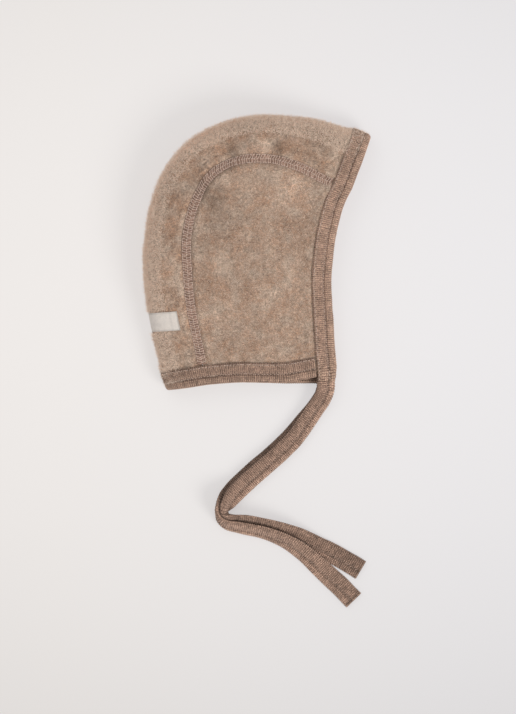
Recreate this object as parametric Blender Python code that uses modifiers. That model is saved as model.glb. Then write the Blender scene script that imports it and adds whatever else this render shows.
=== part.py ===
"""Baby bonnet of brushed wool fleece, lying on its side with its two ties laid out below it.

Metres, +Z up, floor at Z = 0. +X runs towards the face opening and +Y towards the crown.
The wearer's left side lies on top. The origin is under the middle of the bonnet without its ties.
"""
import math
from collections import namedtuple

import bmesh
import bpy
import numpy as np

# Outline of the bonnet as it lies
BODY_DEPTH = 0.1453
BODY_HEIGHT = 0.1760
CROWN_HEIGHT = 0.0281
FOREHEAD_HEIGHT = 0.0180
NAPE_HEIGHT = 0.0160
JAW_HEIGHT = 0.0100
JAW_SLIP = 0.0075
FACE_RISE = 0.0800
NECK_RISE = 0.0850

# Walls, tapes and their clearances
FLEECE = 0.0018
RIB = 0.0010
SEAM_TAPE = 0.0007
LABEL_CLOTH = 0.0005
GAP = 0.0003
SEAM_GAP = 0.0006
FLOOR_GAP = 0.0001

# Widths
BINDING_WIDTH = 0.0122
SEAM_WIDTH = 0.0060
LABEL_WIDTH = 0.0135
LABEL_REACH = 0.0190
LABEL_SKEW = 0.0950
LABEL_SHARE = 0.244
TIE_START_WIDTH = 0.0112
TIE_END_WIDTH = 0.0130
TIE_THICKNESS = 0.0028
UPPER_TAIL = 0.0068
LOWER_TAIL = 0.0050
TAIL_TURN = math.radians(14.0)
TAIL_PIECES = 3
TURN_IN = 0.0200
SLIP_SHARE_X = 0.540
SLIP_SHARE_Y = 0.400

# Roundness of the folded strip, above and below its fold
FOLD_SHARE = 0.42
UPPER_ROUNDNESS = 2.3
LOWER_ROUNDNESS = 3.0

# Places of the inner points across a tape, as shares of its cover, and the angles of its bend in degrees
RAY_SHARES = (0.22, 0.60)
BEND_ANGLES = (45.0, 90.0, 135.0)

# Mesh density
CROWN_ROWS = 15
BACK_ROWS = 19
STRIP_COLUMNS = 14
EDGE_STEP = 0.0062
TIE_ROWS = 44
TIE_SIDES = 8
TIE_BEVEL = 0.0008
RAY_PROBES = 60
LABEL_ROWS = 4
SEAM_STRIDE = 4
FACE_RUN = 40
SEAM_RUN = 16
RAMP = 0.0080
RAMP_MARGIN = 0.0030

# The centre strip's sections from the forehead to the nape.
# Each gives the fold and the seam in plan, as shares of BODY_DEPTH and BODY_HEIGHT.
Section = namedtuple("Section", "fold_x fold_y seam_x seam_y")
SECTIONS = (
    Section(0.982, 0.917, 0.898, 0.733),
    Section(0.921, 0.938, 0.826, 0.750),
    Section(0.780, 0.975, 0.692, 0.804),
    Section(0.626, 0.991, 0.568, 0.833),
    Section(0.474, 0.991, 0.449, 0.833),
    Section(0.324, 0.959, 0.348, 0.804),
    Section(0.185, 0.891, 0.286, 0.760),
    Section(0.080, 0.775, 0.238, 0.691),
    Section(0.032, 0.660, 0.211, 0.622),
    Section(0.011, 0.545, 0.194, 0.535),
    Section(0.006, 0.429, 0.198, 0.429),
    Section(0.019, 0.313, 0.211, 0.313),
    Section(0.046, 0.196, 0.238, 0.196),
    Section(0.079, 0.096, 0.260, 0.105),
    Section(0.116, 0.015, 0.276, 0.036),
)
CORNER_SECTION = 6

# The side panel's free edges in plan, as shares of BODY_DEPTH and BODY_HEIGHT
Spot = namedtuple("Spot", "x y")
FACE_EDGE = (
    Spot(0.898, 0.733),
    Spot(0.864, 0.677),
    Spot(0.843, 0.617),
    Spot(0.828, 0.564),
    Spot(0.814, 0.476),
    Spot(0.807, 0.400),
    Spot(0.811, 0.313),
    Spot(0.818, 0.225),
    Spot(0.824, 0.138),
    Spot(0.832, 0.078),
)
NECK_EDGE = (
    Spot(0.276, 0.036),
    Spot(0.335, 0.041),
    Spot(0.434, 0.046),
    Spot(0.540, 0.044),
    Spot(0.645, 0.047),
    Spot(0.705, 0.056),
    Spot(0.771, 0.067),
    Spot(0.832, 0.078),
)

# Hollows pressed into the upper layer: place as shares, direction in degrees, lengths and depth in metres
Dent = namedtuple("Dent", "x y angle length width depth")
DENTS = (
    Dent(0.278, 0.702, -56.0, 0.0170, 0.0060, 0.0026),
    Dent(0.383, 0.836, 60.0, 0.0080, 0.0060, 0.0016),
    Dent(0.577, 0.848, 75.0, 0.0090, 0.0060, 0.0016),
    Dent(0.500, 0.870, 70.0, 0.0090, 0.0065, -0.0007),
    Dent(0.229, 0.484, -86.0, 0.0210, 0.0050, 0.0009),
)

# The ties' centre lines from the bonnet to their free ends, in metres.
# lift is the clearance over resting on the floor, roll turns the flat tape about its run in degrees.
Lay = namedtuple("Lay", "x y lift roll")
LEFT_ROUTE = (
    Lay(0.0443, -0.0822, 0.0086, 0),
    Lay(0.0444, -0.0860, 0.0080, 0),
    Lay(0.0435, -0.0900, 0.0066, 0),
    Lay(0.0413, -0.0947, 0.0048, 0),
    Lay(0.0378, -0.0998, 0.0035, 0),
    Lay(0.0322, -0.1082, 0.0031, 0),
    Lay(0.0243, -0.1190, 0.0031, 0),
    Lay(0.0129, -0.1303, 0.0031, 0),
    Lay(0.0000, -0.1414, 0.0031, 0),
    Lay(-0.0084, -0.1491, 0.0031, 0),
    Lay(-0.0130, -0.1536, 0.0030, 12),
    Lay(-0.0170, -0.1586, 0.0024, 36),
    Lay(-0.0196, -0.1628, 0.0016, 62),
    Lay(-0.0204, -0.1664, 0.0005, 85),
    Lay(-0.0189, -0.1693, 0.0000, 105),
    Lay(-0.0144, -0.1709, 0.0000, 120),
    Lay(-0.0072, -0.1716, 0.0000, 126),
    Lay(0.0036, -0.1738, 0.0000, 130),
    Lay(0.0165, -0.1776, 0.0000, 142),
    Lay(0.0268, -0.1818, 0.0000, 158),
    Lay(0.0357, -0.1864, 0.0000, 172),
    Lay(0.0459, -0.1913, 0.0000, 180),
    Lay(0.0554, -0.1964, 0.0000, 180),
    Lay(0.0668, -0.2032, 0.0000, 180),
)
RIGHT_ROUTE = (
    Lay(0.0437, -0.0879, 0.0009, 0),
    Lay(0.0427, -0.0912, 0.0004, 0),
    Lay(0.0400, -0.0957, 0.0000, 0),
    Lay(0.0362, -0.1008, 0.0000, 0),
    Lay(0.0303, -0.1079, 0.0000, 0),
    Lay(0.0224, -0.1171, 0.0000, 0),
    Lay(0.0110, -0.1284, 0.0000, 0),
    Lay(-0.0019, -0.1395, 0.0000, 0),
    Lay(-0.0102, -0.1472, 0.0000, 0),
    Lay(-0.0154, -0.1523, 0.0000, 12),
    Lay(-0.0199, -0.1570, 0.0000, 36),
    Lay(-0.0231, -0.1618, 0.0000, 64),
    Lay(-0.0244, -0.1658, 0.0000, 85),
    Lay(-0.0235, -0.1702, 0.0000, 100),
    Lay(-0.0192, -0.1738, 0.0000, 115),
    Lay(-0.0105, -0.1759, 0.0000, 124),
    Lay(0.0036, -0.1788, 0.0000, 127),
    Lay(0.0171, -0.1838, 0.0000, 135),
    Lay(0.0279, -0.1904, 0.0000, 148),
    Lay(0.0357, -0.1969, 0.0000, 156),
    Lay(0.0439, -0.2047, 0.0000, 170),
    Lay(0.0523, -0.2124, 0.0000, 180),
    Lay(0.0623, -0.2226, 0.0000, 180),
)

# Surface colour and roughness of each material
Finish = namedtuple("Finish", "colour roughness")
FLEECE_FINISH = Finish((0.41, 0.28, 0.21), 0.95)
RIB_FINISH = Finish((0.29, 0.20, 0.15), 0.85)
SEAM_FINISH = Finish((0.35, 0.25, 0.19), 0.85)
LABEL_FINISH = Finish((0.72, 0.68, 0.63), 0.80)


def ease(value):
    """Smooth step from 0 to 1."""
    share = np.clip(value, 0.0, 1.0)
    return share * share * (3.0 - 2.0 * share)


def smooth_curve(points, shares):
    """Points at the given shares of a smooth curve through the given points."""
    points = np.asarray(points, float)
    shares = np.asarray(shares, float)
    steps = np.linalg.norm(np.diff(points, axis=0), axis=1)
    knots = np.concatenate(([0.0], np.cumsum(steps))) / steps.sum()
    slopes = np.gradient(points, knots, axis=0)
    index = np.clip(np.searchsorted(knots, shares, side="right") - 1, 0, len(knots) - 2)
    width = (knots[index + 1] - knots[index])[:, None]
    part = (shares - knots[index])[:, None] / width
    start_weight = 2 * part**3 - 3 * part**2 + 1
    end_weight = 3 * part**2 - 2 * part**3
    start_slope = part**3 - 2 * part**2 + part
    end_slope = part**3 - part**2
    return (
        start_weight * points[index]
        + end_weight * points[index + 1]
        + width * (start_slope * slopes[index] + end_slope * slopes[index + 1])
    )


def running_length(curve):
    """Length of the sampled curve up to each of its points."""
    return np.concatenate(([0.0], np.cumsum(np.linalg.norm(np.diff(curve, axis=0), axis=1))))


def even_shares(curve, count):
    """Shares of the sampled curve that divide its length into equal steps."""
    lengths = running_length(curve)
    native = np.linspace(0.0, 1.0, len(curve))
    return np.interp(np.linspace(0.0, lengths[-1], count + 1), lengths, native)


def in_plan(rows):
    """Table shares turned into metres about the middle of the bonnet."""
    scale = np.tile((BODY_DEPTH, BODY_HEIGHT), len(rows[0]) // 2)
    return (np.array(rows) - 0.5) * scale


FINE = np.linspace(0.0, 1.0, 481)
SECTION_PLAN = in_plan(SECTIONS)
SEAM_LINE = smooth_curve(SECTION_PLAN, FINE)[:, 2:]
FACE_LINE = smooth_curve(in_plan(FACE_EDGE), FINE)
NECK_LINE = smooth_curve(in_plan(NECK_EDGE), FINE)
FOREHEAD_FOLD = SECTION_PLAN[0, :2]
NAPE_FOLD = SECTION_PLAN[-1, :2]
JAW = FACE_LINE[-1]
BINDING_REACH = GAP + FLEECE / 2 + GAP + RIB
BINDING_COVER = BINDING_WIDTH - BINDING_REACH


def slipped(line, axis, start):
    """The lower layer's edge, slid down towards the jaw, where it peeks out under the upper one."""
    share = np.clip((line[:, axis] - start) / (JAW[axis] - start), 0.0, 1.0)
    return line - np.column_stack((np.zeros(len(line)), JAW_SLIP * share**2))


LOWER_FACE_LINE = slipped(FACE_LINE, 1, (SLIP_SHARE_Y - 0.5) * BODY_HEIGHT)
LOWER_NECK_LINE = slipped(NECK_LINE, 0, (SLIP_SHARE_X - 0.5) * BODY_DEPTH)


def face_x(y, line):
    """X of the face edge at a height in plan, up to the forehead fold."""
    edge = np.vstack((line[::-1], FOREHEAD_FOLD))
    return np.interp(y, edge[:, 1], edge[:, 0])


def neck_y(x, line):
    """Y of the neck edge at a depth in plan, out to the nape fold."""
    edge = np.vstack((NAPE_FOLD, line))
    return np.interp(x, edge[:, 0], edge[:, 1])


def dents(x, y):
    """Depth change of the upper layer from all its dents."""
    change = np.zeros_like(x)
    for dent in DENTS:
        east = x - (dent.x - 0.5) * BODY_DEPTH
        north = y - (dent.y - 0.5) * BODY_HEIGHT
        cosine = math.cos(math.radians(dent.angle))
        sine = math.sin(math.radians(dent.angle))
        along = (east * cosine + north * sine) / dent.length
        across = (north * cosine - east * sine) / dent.width
        change -= dent.depth * np.exp(-(along**2) - across**2)
    return change


def upper_height(x, y):
    """Height of the middle of the upper layer, without its dents."""
    upward = np.clip((y - JAW[1]) / (FACE_LINE[0, 1] - JAW[1]), 0.0, 1.0)
    backward = np.clip((JAW[0] - x) / (JAW[0] - NECK_LINE[0, 0]), 0.0, 1.0)
    edge = JAW_HEIGHT + (FOREHEAD_HEIGHT - JAW_HEIGHT) * upward + (NAPE_HEIGHT - JAW_HEIGHT) * backward
    rise = ease((face_x(y, FACE_LINE) - x) / FACE_RISE) * ease((y - neck_y(x, NECK_LINE)) / NECK_RISE)
    return edge + (CROWN_HEIGHT - edge) * rise


def lower_height(x, y):
    """Height of the middle of the lower layer: flat on the floor, lifted by the tapes beneath it."""
    spots = np.stack((np.ravel(x), np.ravel(y)), axis=1)
    offsets = np.linalg.norm(spots[:, None, :] - SEAM_LINE[None, ::SEAM_STRIDE, :], axis=2)
    seam_distance = offsets.min(axis=1).reshape(np.shape(x))
    to_face = face_x(y, LOWER_FACE_LINE) - x
    to_neck = y - neck_y(x, LOWER_NECK_LINE)
    edge_distance = np.minimum(to_face, to_neck)
    over_seam = (GAP + SEAM_TAPE + FLOOR_GAP) * (1.0 - ease((seam_distance - SEAM_WIDTH / 2 - RAMP_MARGIN) / RAMP))
    over_binding = (GAP + RIB + FLOOR_GAP) * (1.0 - ease((edge_distance - BINDING_COVER - RAMP_MARGIN) / RAMP))
    return FLEECE / 2 + np.maximum(over_seam, over_binding)


def section_at(shares):
    """Fold point, seam point, seam heights above and below, of the strip's sections."""
    rows = smooth_curve(SECTION_PLAN, shares)
    fold, seam = rows[:, :2], rows[:, 2:]
    high = upper_height(seam[:, 0], seam[:, 1])
    low = lower_height(seam[:, 0], seam[:, 1])
    return fold, seam, high, low


def strip_points(shares, angles):
    """Grid of points on the strip: a row per section, a column per angle, 90 above to -90 below."""
    fold, seam, high, low = section_at(shares)
    sine, cosine = np.sin(np.radians(angles)), np.abs(np.cos(np.radians(angles)))
    power = np.where(sine >= 0, 2.0 / UPPER_ROUNDNESS, 2.0 / LOWER_ROUNDNESS)
    inset = 1.0 - cosine**power
    swell = np.abs(sine) ** power
    span = seam - fold
    length = np.linalg.norm(span, axis=1)
    span = span * (1.0 - SEAM_GAP / 2 / length)[:, None]
    plan = fold[:, None, :] + span[:, None, :] * inset[None, :, None]
    middle = low + FOLD_SHARE * (high - low)
    reach = np.where(sine >= 0, (high - middle)[:, None], (low - middle)[:, None])
    height = middle[:, None] + reach * swell[None, :]
    height += dents(plan[..., 0], plan[..., 1]) * np.clip(sine, 0.0, 1.0)[None, :] ** 2
    return np.dstack((plan, height))


def layer_points(plan, upper):
    """Points of a side layer over the given plan points."""
    x, y = plan[..., 0], plan[..., 1]
    height = upper_height(x, y) + dents(x, y) if upper else lower_height(x, y)
    return np.concatenate((plan, height[..., None]), axis=-1)


def grid_normals(grid):
    """Unit normals of a grid of points."""
    normals = np.cross(np.gradient(grid, axis=0), np.gradient(grid, axis=1))
    return normals / np.linalg.norm(normals, axis=-1, keepdims=True)


def facing_up(normals):
    """The normals of a wrapped grid, turned to point up where the grid begins."""
    return normals * np.sign(normals[0, -1, 2])


CORNER_SHARE = float(FINE[np.argmin(np.linalg.norm(SEAM_LINE - SECTION_PLAN[CORNER_SECTION, 2:], axis=1))])
CROWN_SHARES = CORNER_SHARE * even_shares(SEAM_LINE[FINE <= CORNER_SHARE], CROWN_ROWS)
BACK_SHARES = CORNER_SHARE + (1.0 - CORNER_SHARE) * even_shares(SEAM_LINE[FINE >= CORNER_SHARE], BACK_ROWS)
STRIP_SHARES = np.concatenate((CROWN_SHARES, BACK_SHARES[1:]))
STRIP_ANGLES = np.linspace(90.0, -90.0, STRIP_COLUMNS + 1)


def new_object(name, points, faces, finish):
    """Mesh object with its own material, in the bonnet's collection."""
    mesh = bpy.data.meshes.new(name)
    mesh.from_pydata([tuple(point) for point in points], [], faces)
    mesh.update()
    item = bpy.data.objects.new(name, mesh)
    material = bpy.data.materials.new(name + "_cloth")
    material.use_nodes = True
    shader = material.node_tree.nodes["Principled BSDF"]
    shader.inputs["Base Color"].default_value = (*finish.colour, 1.0)
    shader.inputs["Roughness"].default_value = finish.roughness
    mesh.materials.append(material)
    COLLECTION.objects.link(item)
    return item


def cloth(name, grid, thickness, finish):
    """Wall of even thickness about a grid of points."""
    rows, columns = grid.shape[:2]
    faces = [
        (row * columns + column, (row + 1) * columns + column,
         (row + 1) * columns + column + 1, row * columns + column + 1)
        for row in range(rows - 1)
        for column in range(columns - 1)
    ]
    item = new_object(name, grid.reshape(-1, 3), faces, finish)
    wall = item.modifiers.new("wall", "SOLIDIFY")
    wall.thickness = thickness
    wall.offset = 0.0
    item.data.shade_smooth()
    return item


def resampled(line, count):
    """The line in equal steps."""
    shares = even_shares(line, count)
    native = np.linspace(0.0, 1.0, len(line))
    return np.array([np.interp(shares, native, line[:, i]) for i in (0, 1)]).T


def from_seam(edge, start):
    """The edge with its first stretch drawn in, so that it begins at the given point."""
    near_start = 1.0 - ease(np.arange(len(edge)) * EDGE_STEP / TURN_IN)
    return edge + (start - edge[0]) * near_start[:, None]


def side_panel(name, upper):
    """Side panel: a four-sided patch between the crown seam, back seam, neck edge and face edge."""
    fold, seam, _, _ = section_at(STRIP_SHARES)
    inward = (seam - fold) / np.linalg.norm(seam - fold, axis=1, keepdims=True)
    seam = seam + inward * SEAM_GAP / 2
    crown = seam[: CROWN_ROWS + 1][::-1]
    back = seam[CROWN_ROWS:]
    face_line = FACE_LINE if upper else LOWER_FACE_LINE
    neck_line = NECK_LINE if upper else LOWER_NECK_LINE
    face = from_seam(resampled(face_line, BACK_ROWS), crown[-1])
    neck = from_seam(resampled(neck_line, CROWN_ROWS), back[-1])
    u = np.linspace(0.0, 1.0, CROWN_ROWS + 1)[:, None, None]
    v = np.linspace(0.0, 1.0, BACK_ROWS + 1)[None, :, None]
    corners = (1 - u) * (1 - v) * crown[0] + u * (1 - v) * crown[-1] + (1 - u) * v * back[-1] + u * v * face[-1]
    plan = (1 - v) * crown[:, None] + v * neck[:, None] + (1 - u) * back[None] + u * face[None] - corners
    return cloth(name, layer_points(plan, upper), FLEECE, FLEECE_FINISH)


def centre_panel():
    """Strip from forehead to nape, folded along its middle."""
    return cloth("centre_panel", strip_points(STRIP_SHARES, STRIP_ANGLES), FLEECE, FLEECE_FINISH)


def strip_height(shares, inset, upper):
    """Height of the strip at plan distances inset from its seam towards the fold."""
    fold, seam, high, low = section_at(shares)
    length = np.linalg.norm(seam - fold, axis=1)
    roundness = UPPER_ROUNDNESS if upper else LOWER_ROUNDNESS
    cosine = (inset / length) ** (roundness / 2)
    swell = np.sqrt(1.0 - cosine**2) ** (2.0 / roundness)
    middle = low + FOLD_SHARE * (high - low)
    edge = high if upper else low
    return middle + (edge - middle) * swell


def crown_seam(name, upper):
    """Raised tape over the seam between the strip and a side panel."""
    lengths = running_length(SEAM_LINE)
    margin = BINDING_COVER + 2 * GAP
    first, last = np.interp((margin, lengths[-1] - margin), lengths, FINE)
    spare = GAP / lengths[-1]
    inside = STRIP_SHARES[(STRIP_SHARES > first + spare) & (STRIP_SHARES < last - spare)]
    shares = np.concatenate(([first], inside, [last]))
    fold, seam, _, _ = section_at(shares)
    inward = (seam - fold) / np.linalg.norm(seam - fold, axis=1, keepdims=True)
    columns = []
    for offset in (-SEAM_WIDTH / 2, 0.0, SEAM_WIDTH / 2):
        plan = seam + inward * offset
        column = layer_points(plan, upper)
        if offset < 0:
            column[:, 2] = strip_height(shares, -offset, upper)
            if upper:
                column[:, 2] += dents(plan[:, 0], plan[:, 1])
        columns.append(column)
    grid = np.stack(columns, axis=1)
    normals = grid_normals(grid)
    outward = 1.0 if upper else -1.0
    normals *= np.sign(normals[..., 2:]) * outward
    lift = FLEECE / 2 + GAP + SEAM_TAPE / 2
    return cloth(name, grid + normals * lift, SEAM_TAPE, SEAM_FINISH)


def strip_rays(end, distances):
    """Points inward from the strip's forehead (end 0) or nape (end 1) edge, a row per angle."""
    depth = np.linspace(0.0, 3 * BINDING_WIDTH / running_length(SEAM_LINE)[-1], RAY_PROBES)
    shares = depth if end == 0 else 1.0 - depth
    grid = strip_points(shares, STRIP_ANGLES)
    before = distances < 0
    rays = []
    for column in range(grid.shape[1]):
        line = grid[:, column]
        lengths = running_length(line)
        ray = np.array([np.interp(distances, lengths, line[:, i]) for i in range(3)]).T
        outward = unit(line[0] - line[1])
        ray[before] = line[0] - outward * distances[before][:, None]
        rays.append(ray)
    return np.array(rays)


def edge_rays(edge, inward, distances, upper):
    """Points inward from a side layer's edge, a row per edge point."""
    plan = edge[:, None, :] + inward[:, None, :] * distances[None, :, None]
    return layer_points(plan, upper)


def stepped(line):
    """The line in equal steps of about EDGE_STEP."""
    return resampled(line, round(running_length(line)[-1] / EDGE_STEP))


def unit(vectors):
    """Vectors scaled to length one."""
    return vectors / np.linalg.norm(vectors, axis=-1, keepdims=True)


def plan_inward(edge, turn):
    """Unit normals of an edge in plan, on the side that turn (1 or -1) gives."""
    run = unit(np.gradient(edge, axis=0))
    return turn * np.column_stack((-run[:, 1], run[:, 0]))


def with_tail(edge, length):
    """The face edge carried on past the jaw in a slight turn, where its tape becomes the tie."""
    run = edge[-1] - edge[-2]
    heading = math.atan2(run[1], run[0])
    tail = []
    spot = edge[-1]
    for piece in range(TAIL_PIECES):
        angle = heading - TAIL_TURN * (piece + 0.5) / TAIL_PIECES
        spot = spot + np.array((math.cos(angle), math.sin(angle))) * length / TAIL_PIECES
        tail.append(spot)
    return np.vstack((edge, tail))


def channel(name, rays):
    """Tape folded round an edge: a U-shaped wall over rays whose first point is at the bend."""
    normals = facing_up(grid_normals(rays))
    offset = FLEECE / 2 + GAP + RIB / 2
    flat = rays + normals * offset
    under = rays - normals * offset
    bend_centre, bend_normal = rays[:, 0], normals[:, 0]
    outward = unit(rays[:, 0] - rays[:, 1])
    bend = [
        bend_centre + offset * (math.cos(angle) * bend_normal + math.sin(angle) * outward)
        for angle in np.radians(BEND_ANGLES)
    ]
    columns = [flat[:, i] for i in range(rays.shape[1] - 1, -1, -1)] + bend
    columns += [under[:, 0], under[:, -1]]
    return cloth(name, np.stack(columns, axis=1), RIB, RIB_FINISH)


RAY_DISTANCES = np.array((-GAP, *(share * BINDING_COVER for share in RAY_SHARES), BINDING_COVER))


def face_binding():
    """Tape along the face edge: up the top layer, round the forehead fold and down the lower layer."""
    upper_edge = with_tail(stepped(FACE_LINE), UPPER_TAIL)
    lower_edge = with_tail(stepped(LOWER_FACE_LINE), LOWER_TAIL)
    upper = edge_rays(upper_edge, plan_inward(upper_edge, -1.0), RAY_DISTANCES, True)
    lower = edge_rays(lower_edge, plan_inward(lower_edge, -1.0), RAY_DISTANCES, False)
    round_fold = strip_rays(0, RAY_DISTANCES)
    return channel("face_binding", np.concatenate((upper[:0:-1], round_fold, lower[1:])))


def neck_rays(face_line, neck_line, upper):
    """Rays along the neck edge from the face binding to the back seam."""
    clear = face_x(neck_line[:, 1], face_line) - neck_line[:, 0] > BINDING_COVER + 2 * GAP
    edge = stepped(neck_line[clear][::-1])
    inward = plan_inward(edge, -1.0)
    lengths = running_length(edge)
    beside_face = unit(face_line[-1 - FACE_RUN] - face_line[-1])
    beside_seam = unit(SEAM_LINE[-1 - SEAM_RUN] - SEAM_LINE[-1])
    near_face = 1.0 - ease(lengths / TURN_IN)
    near_seam = 1.0 - ease((lengths[-1] - lengths) / TURN_IN)
    blend = 1.0 - near_face - near_seam
    inward = unit(
        inward * blend[:, None] + beside_face * near_face[:, None] + beside_seam * near_seam[:, None]
    )
    return edge_rays(edge, inward, RAY_DISTANCES, upper)


def neck_binding():
    """Tape along the neck edge: back along the top layer, round the nape fold and forward below."""
    upper = neck_rays(FACE_LINE, NECK_LINE, True)
    lower = neck_rays(LOWER_FACE_LINE, LOWER_NECK_LINE, False)
    round_fold = strip_rays(1, RAY_DISTANCES)
    return channel("neck_binding", np.concatenate((upper[:-1], round_fold, lower[-2::-1])))


def back_label():
    """Woven label wrapped round the fold above the nape, sewn on slightly askew."""
    fold_line = smooth_curve(SECTION_PLAN, FINE)[:, :2]
    off_level = np.abs(fold_line[:, 1] - (LABEL_SHARE - 0.5) * BODY_HEIGHT)
    middle = float(FINE[np.argmin(off_level + BODY_HEIGHT * (fold_line[:, 0] > 0))])
    length = running_length(fold_line)[-1]
    half = LABEL_WIDTH / 2 / length
    fold, seam, _, _ = section_at(np.array((middle,)))
    depth = np.linalg.norm(seam - fold)
    upper_angle = math.degrees(math.acos((1.0 - LABEL_REACH / depth) ** (UPPER_ROUNDNESS / 2)))
    lower_angle = math.degrees(math.acos((1.0 - LABEL_REACH / depth) ** (LOWER_ROUNDNESS / 2)))
    spare = 90.0 / STRIP_COLUMNS
    inside = STRIP_ANGLES[(STRIP_ANGLES < upper_angle - spare) & (STRIP_ANGLES > spare - lower_angle)]
    angles = np.concatenate(([upper_angle], inside, [-lower_angle]))
    rows = []
    for place in np.linspace(middle - half, middle + half, LABEL_ROWS):
        straight = strip_points(np.array((place,)), angles)[0]
        inset = np.linalg.norm(straight[:, :2] - fold[0], axis=1) / length
        askew = place - LABEL_SKEW * inset * np.sign(angles)
        rows.append(np.diagonal(strip_points(askew, angles)).T)
    grid = np.array(rows)
    normals = grid_normals(grid)
    normals *= np.sign(normals[0, 0, 2])
    lift = FLEECE / 2 + GAP + LABEL_CLOTH / 2
    return cloth("back_label", grid + normals * lift, LABEL_CLOTH, LABEL_FINISH)


def ribbon(name, route):
    """Flat tie swept along its route, rolling with the tape, with flat cut ends."""
    shares = np.linspace(0.0, 1.0, TIE_ROWS)
    path = np.array(route, float)
    path[:, 3] = np.radians(path[:, 3]) * TIE_END_WIDTH
    rows = smooth_curve(path, shares)
    rolls = rows[:, 3] / TIE_END_WIDTH
    half_widths = (TIE_START_WIDTH + (TIE_END_WIDTH - TIE_START_WIDTH) * ease(shares)) / 2
    half_thick = TIE_THICKNESS / 2
    rest = half_thick * np.abs(np.cos(rolls)) + half_widths * np.abs(np.sin(rolls))
    centres = np.column_stack((rows[:, :2], rest + np.maximum(rows[:, 2], 0.0)))
    runs = unit(np.gradient(centres, axis=0))
    sideways = unit(np.cross((0.0, 0.0, 1.0), runs))
    upward = np.cross(runs, sideways)
    normals = upward * np.cos(rolls)[:, None] + sideways * np.sin(rolls)[:, None]
    across = np.cross(runs, normals)
    flat_thick = half_thick - TIE_BEVEL
    points = []
    for centre, half_width, normal, side in zip(centres, half_widths, normals, across):
        flat_width = half_width - TIE_BEVEL
        outline = (
            (half_width, flat_thick), (flat_width, half_thick),
            (-flat_width, half_thick), (-half_width, flat_thick),
            (-half_width, -flat_thick), (-flat_width, -half_thick),
            (flat_width, -half_thick), (half_width, -flat_thick),
        )
        points += [centre + side * a + normal * b for a, b in outline]
    sides = TIE_SIDES
    faces = [
        (row * sides + i, row * sides + (i + 1) % sides,
         (row + 1) * sides + (i + 1) % sides, (row + 1) * sides + i)
        for row in range(TIE_ROWS - 1)
        for i in range(sides)
    ]
    faces.append(tuple(range(sides)))
    faces.append(tuple((TIE_ROWS - 1) * sides + i for i in range(sides)))
    item = new_object(name, points, faces, RIB_FINISH)
    outside = bmesh.new()
    outside.from_mesh(item.data)
    bmesh.ops.recalc_face_normals(outside, faces=outside.faces)
    outside.to_mesh(item.data)
    outside.free()
    return item


for old in list(bpy.data.objects):
    bpy.data.objects.remove(old, do_unlink=True)
COLLECTION = bpy.data.collections.new("baby_bonnet")
bpy.context.scene.collection.children.link(COLLECTION)

side_panel("side_panel_left", True)
side_panel("side_panel_right", False)
centre_panel()
crown_seam("crown_seam_left", True)
crown_seam("crown_seam_right", False)
face_binding()
neck_binding()
back_label()
ribbon("tie_left", LEFT_ROUTE)
ribbon("tie_right", RIGHT_ROUTE)
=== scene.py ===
"""Looks of the baby bonnet: brushed fleece with a raised nap, rib-knit tapes, flat seams and a woven label.

Metres, in the frame of the CAD model: +Z up from the floor at Z = 0, +X towards the face opening, +Y towards
the crown. The wearer's left side lies on top.
"""
import math
from collections import namedtuple

import bpy
import numpy as np
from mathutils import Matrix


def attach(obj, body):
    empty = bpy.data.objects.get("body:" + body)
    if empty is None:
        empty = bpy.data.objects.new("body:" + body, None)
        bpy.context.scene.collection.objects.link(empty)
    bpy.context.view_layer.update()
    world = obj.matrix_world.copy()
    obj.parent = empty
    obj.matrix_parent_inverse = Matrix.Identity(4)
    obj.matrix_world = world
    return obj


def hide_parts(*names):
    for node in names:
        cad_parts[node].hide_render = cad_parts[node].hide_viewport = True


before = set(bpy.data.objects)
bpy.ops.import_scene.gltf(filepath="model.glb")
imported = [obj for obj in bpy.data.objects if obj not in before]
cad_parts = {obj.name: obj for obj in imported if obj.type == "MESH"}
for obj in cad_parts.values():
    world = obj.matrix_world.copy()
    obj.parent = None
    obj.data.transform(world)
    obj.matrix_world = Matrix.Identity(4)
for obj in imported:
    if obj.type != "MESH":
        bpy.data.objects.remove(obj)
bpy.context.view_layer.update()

# The photograph
PIXEL = 0.00064
PHOTO_ROWS = 714
SENSOR = 36.0
CAMERA_HEIGHT = 3.0
VIEW_X = 0.00096
VIEW_Y = -0.0669

# Outline of the bonnet as it lies, as in the CAD model
BODY_DEPTH = 0.1453
BODY_HEIGHT = 0.1760
CROWN_HEIGHT = 0.0281
FOREHEAD_HEIGHT = 0.0180
NAPE_HEIGHT = 0.0160
JAW_HEIGHT = 0.0100
JAW_SLIP = 0.0075
FACE_RISE = 0.0800
NECK_RISE = 0.0850
FLEECE = 0.0018
RIB = 0.0010
SEAM_TAPE = 0.0007
LABEL_CLOTH = 0.0005
GAP = 0.0003
SEAM_GAP = 0.0006
FLOOR_GAP = 0.0001
BINDING_WIDTH = 0.0122
SEAM_WIDTH = 0.0060
LABEL_WIDTH = 0.0135
LABEL_REACH = 0.0190
LABEL_SKEW = 0.0950
LABEL_SHARE = 0.244
TIE_START_WIDTH = 0.0112
TIE_END_WIDTH = 0.0130
TIE_THICKNESS = 0.0028
UPPER_TAIL = 0.0068
LOWER_TAIL = 0.0050
TAIL_TURN = math.radians(14.0)
TURN_IN = 0.0200
SLIP_SHARE_X = 0.540
SLIP_SHARE_Y = 0.400
FOLD_SHARE = 0.42
UPPER_ROUNDNESS = 2.3
LOWER_ROUNDNESS = 3.0
RAMP = 0.0080
RAMP_MARGIN = 0.0030
FACE_RUN = 80
SEAM_RUN = 32

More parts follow.
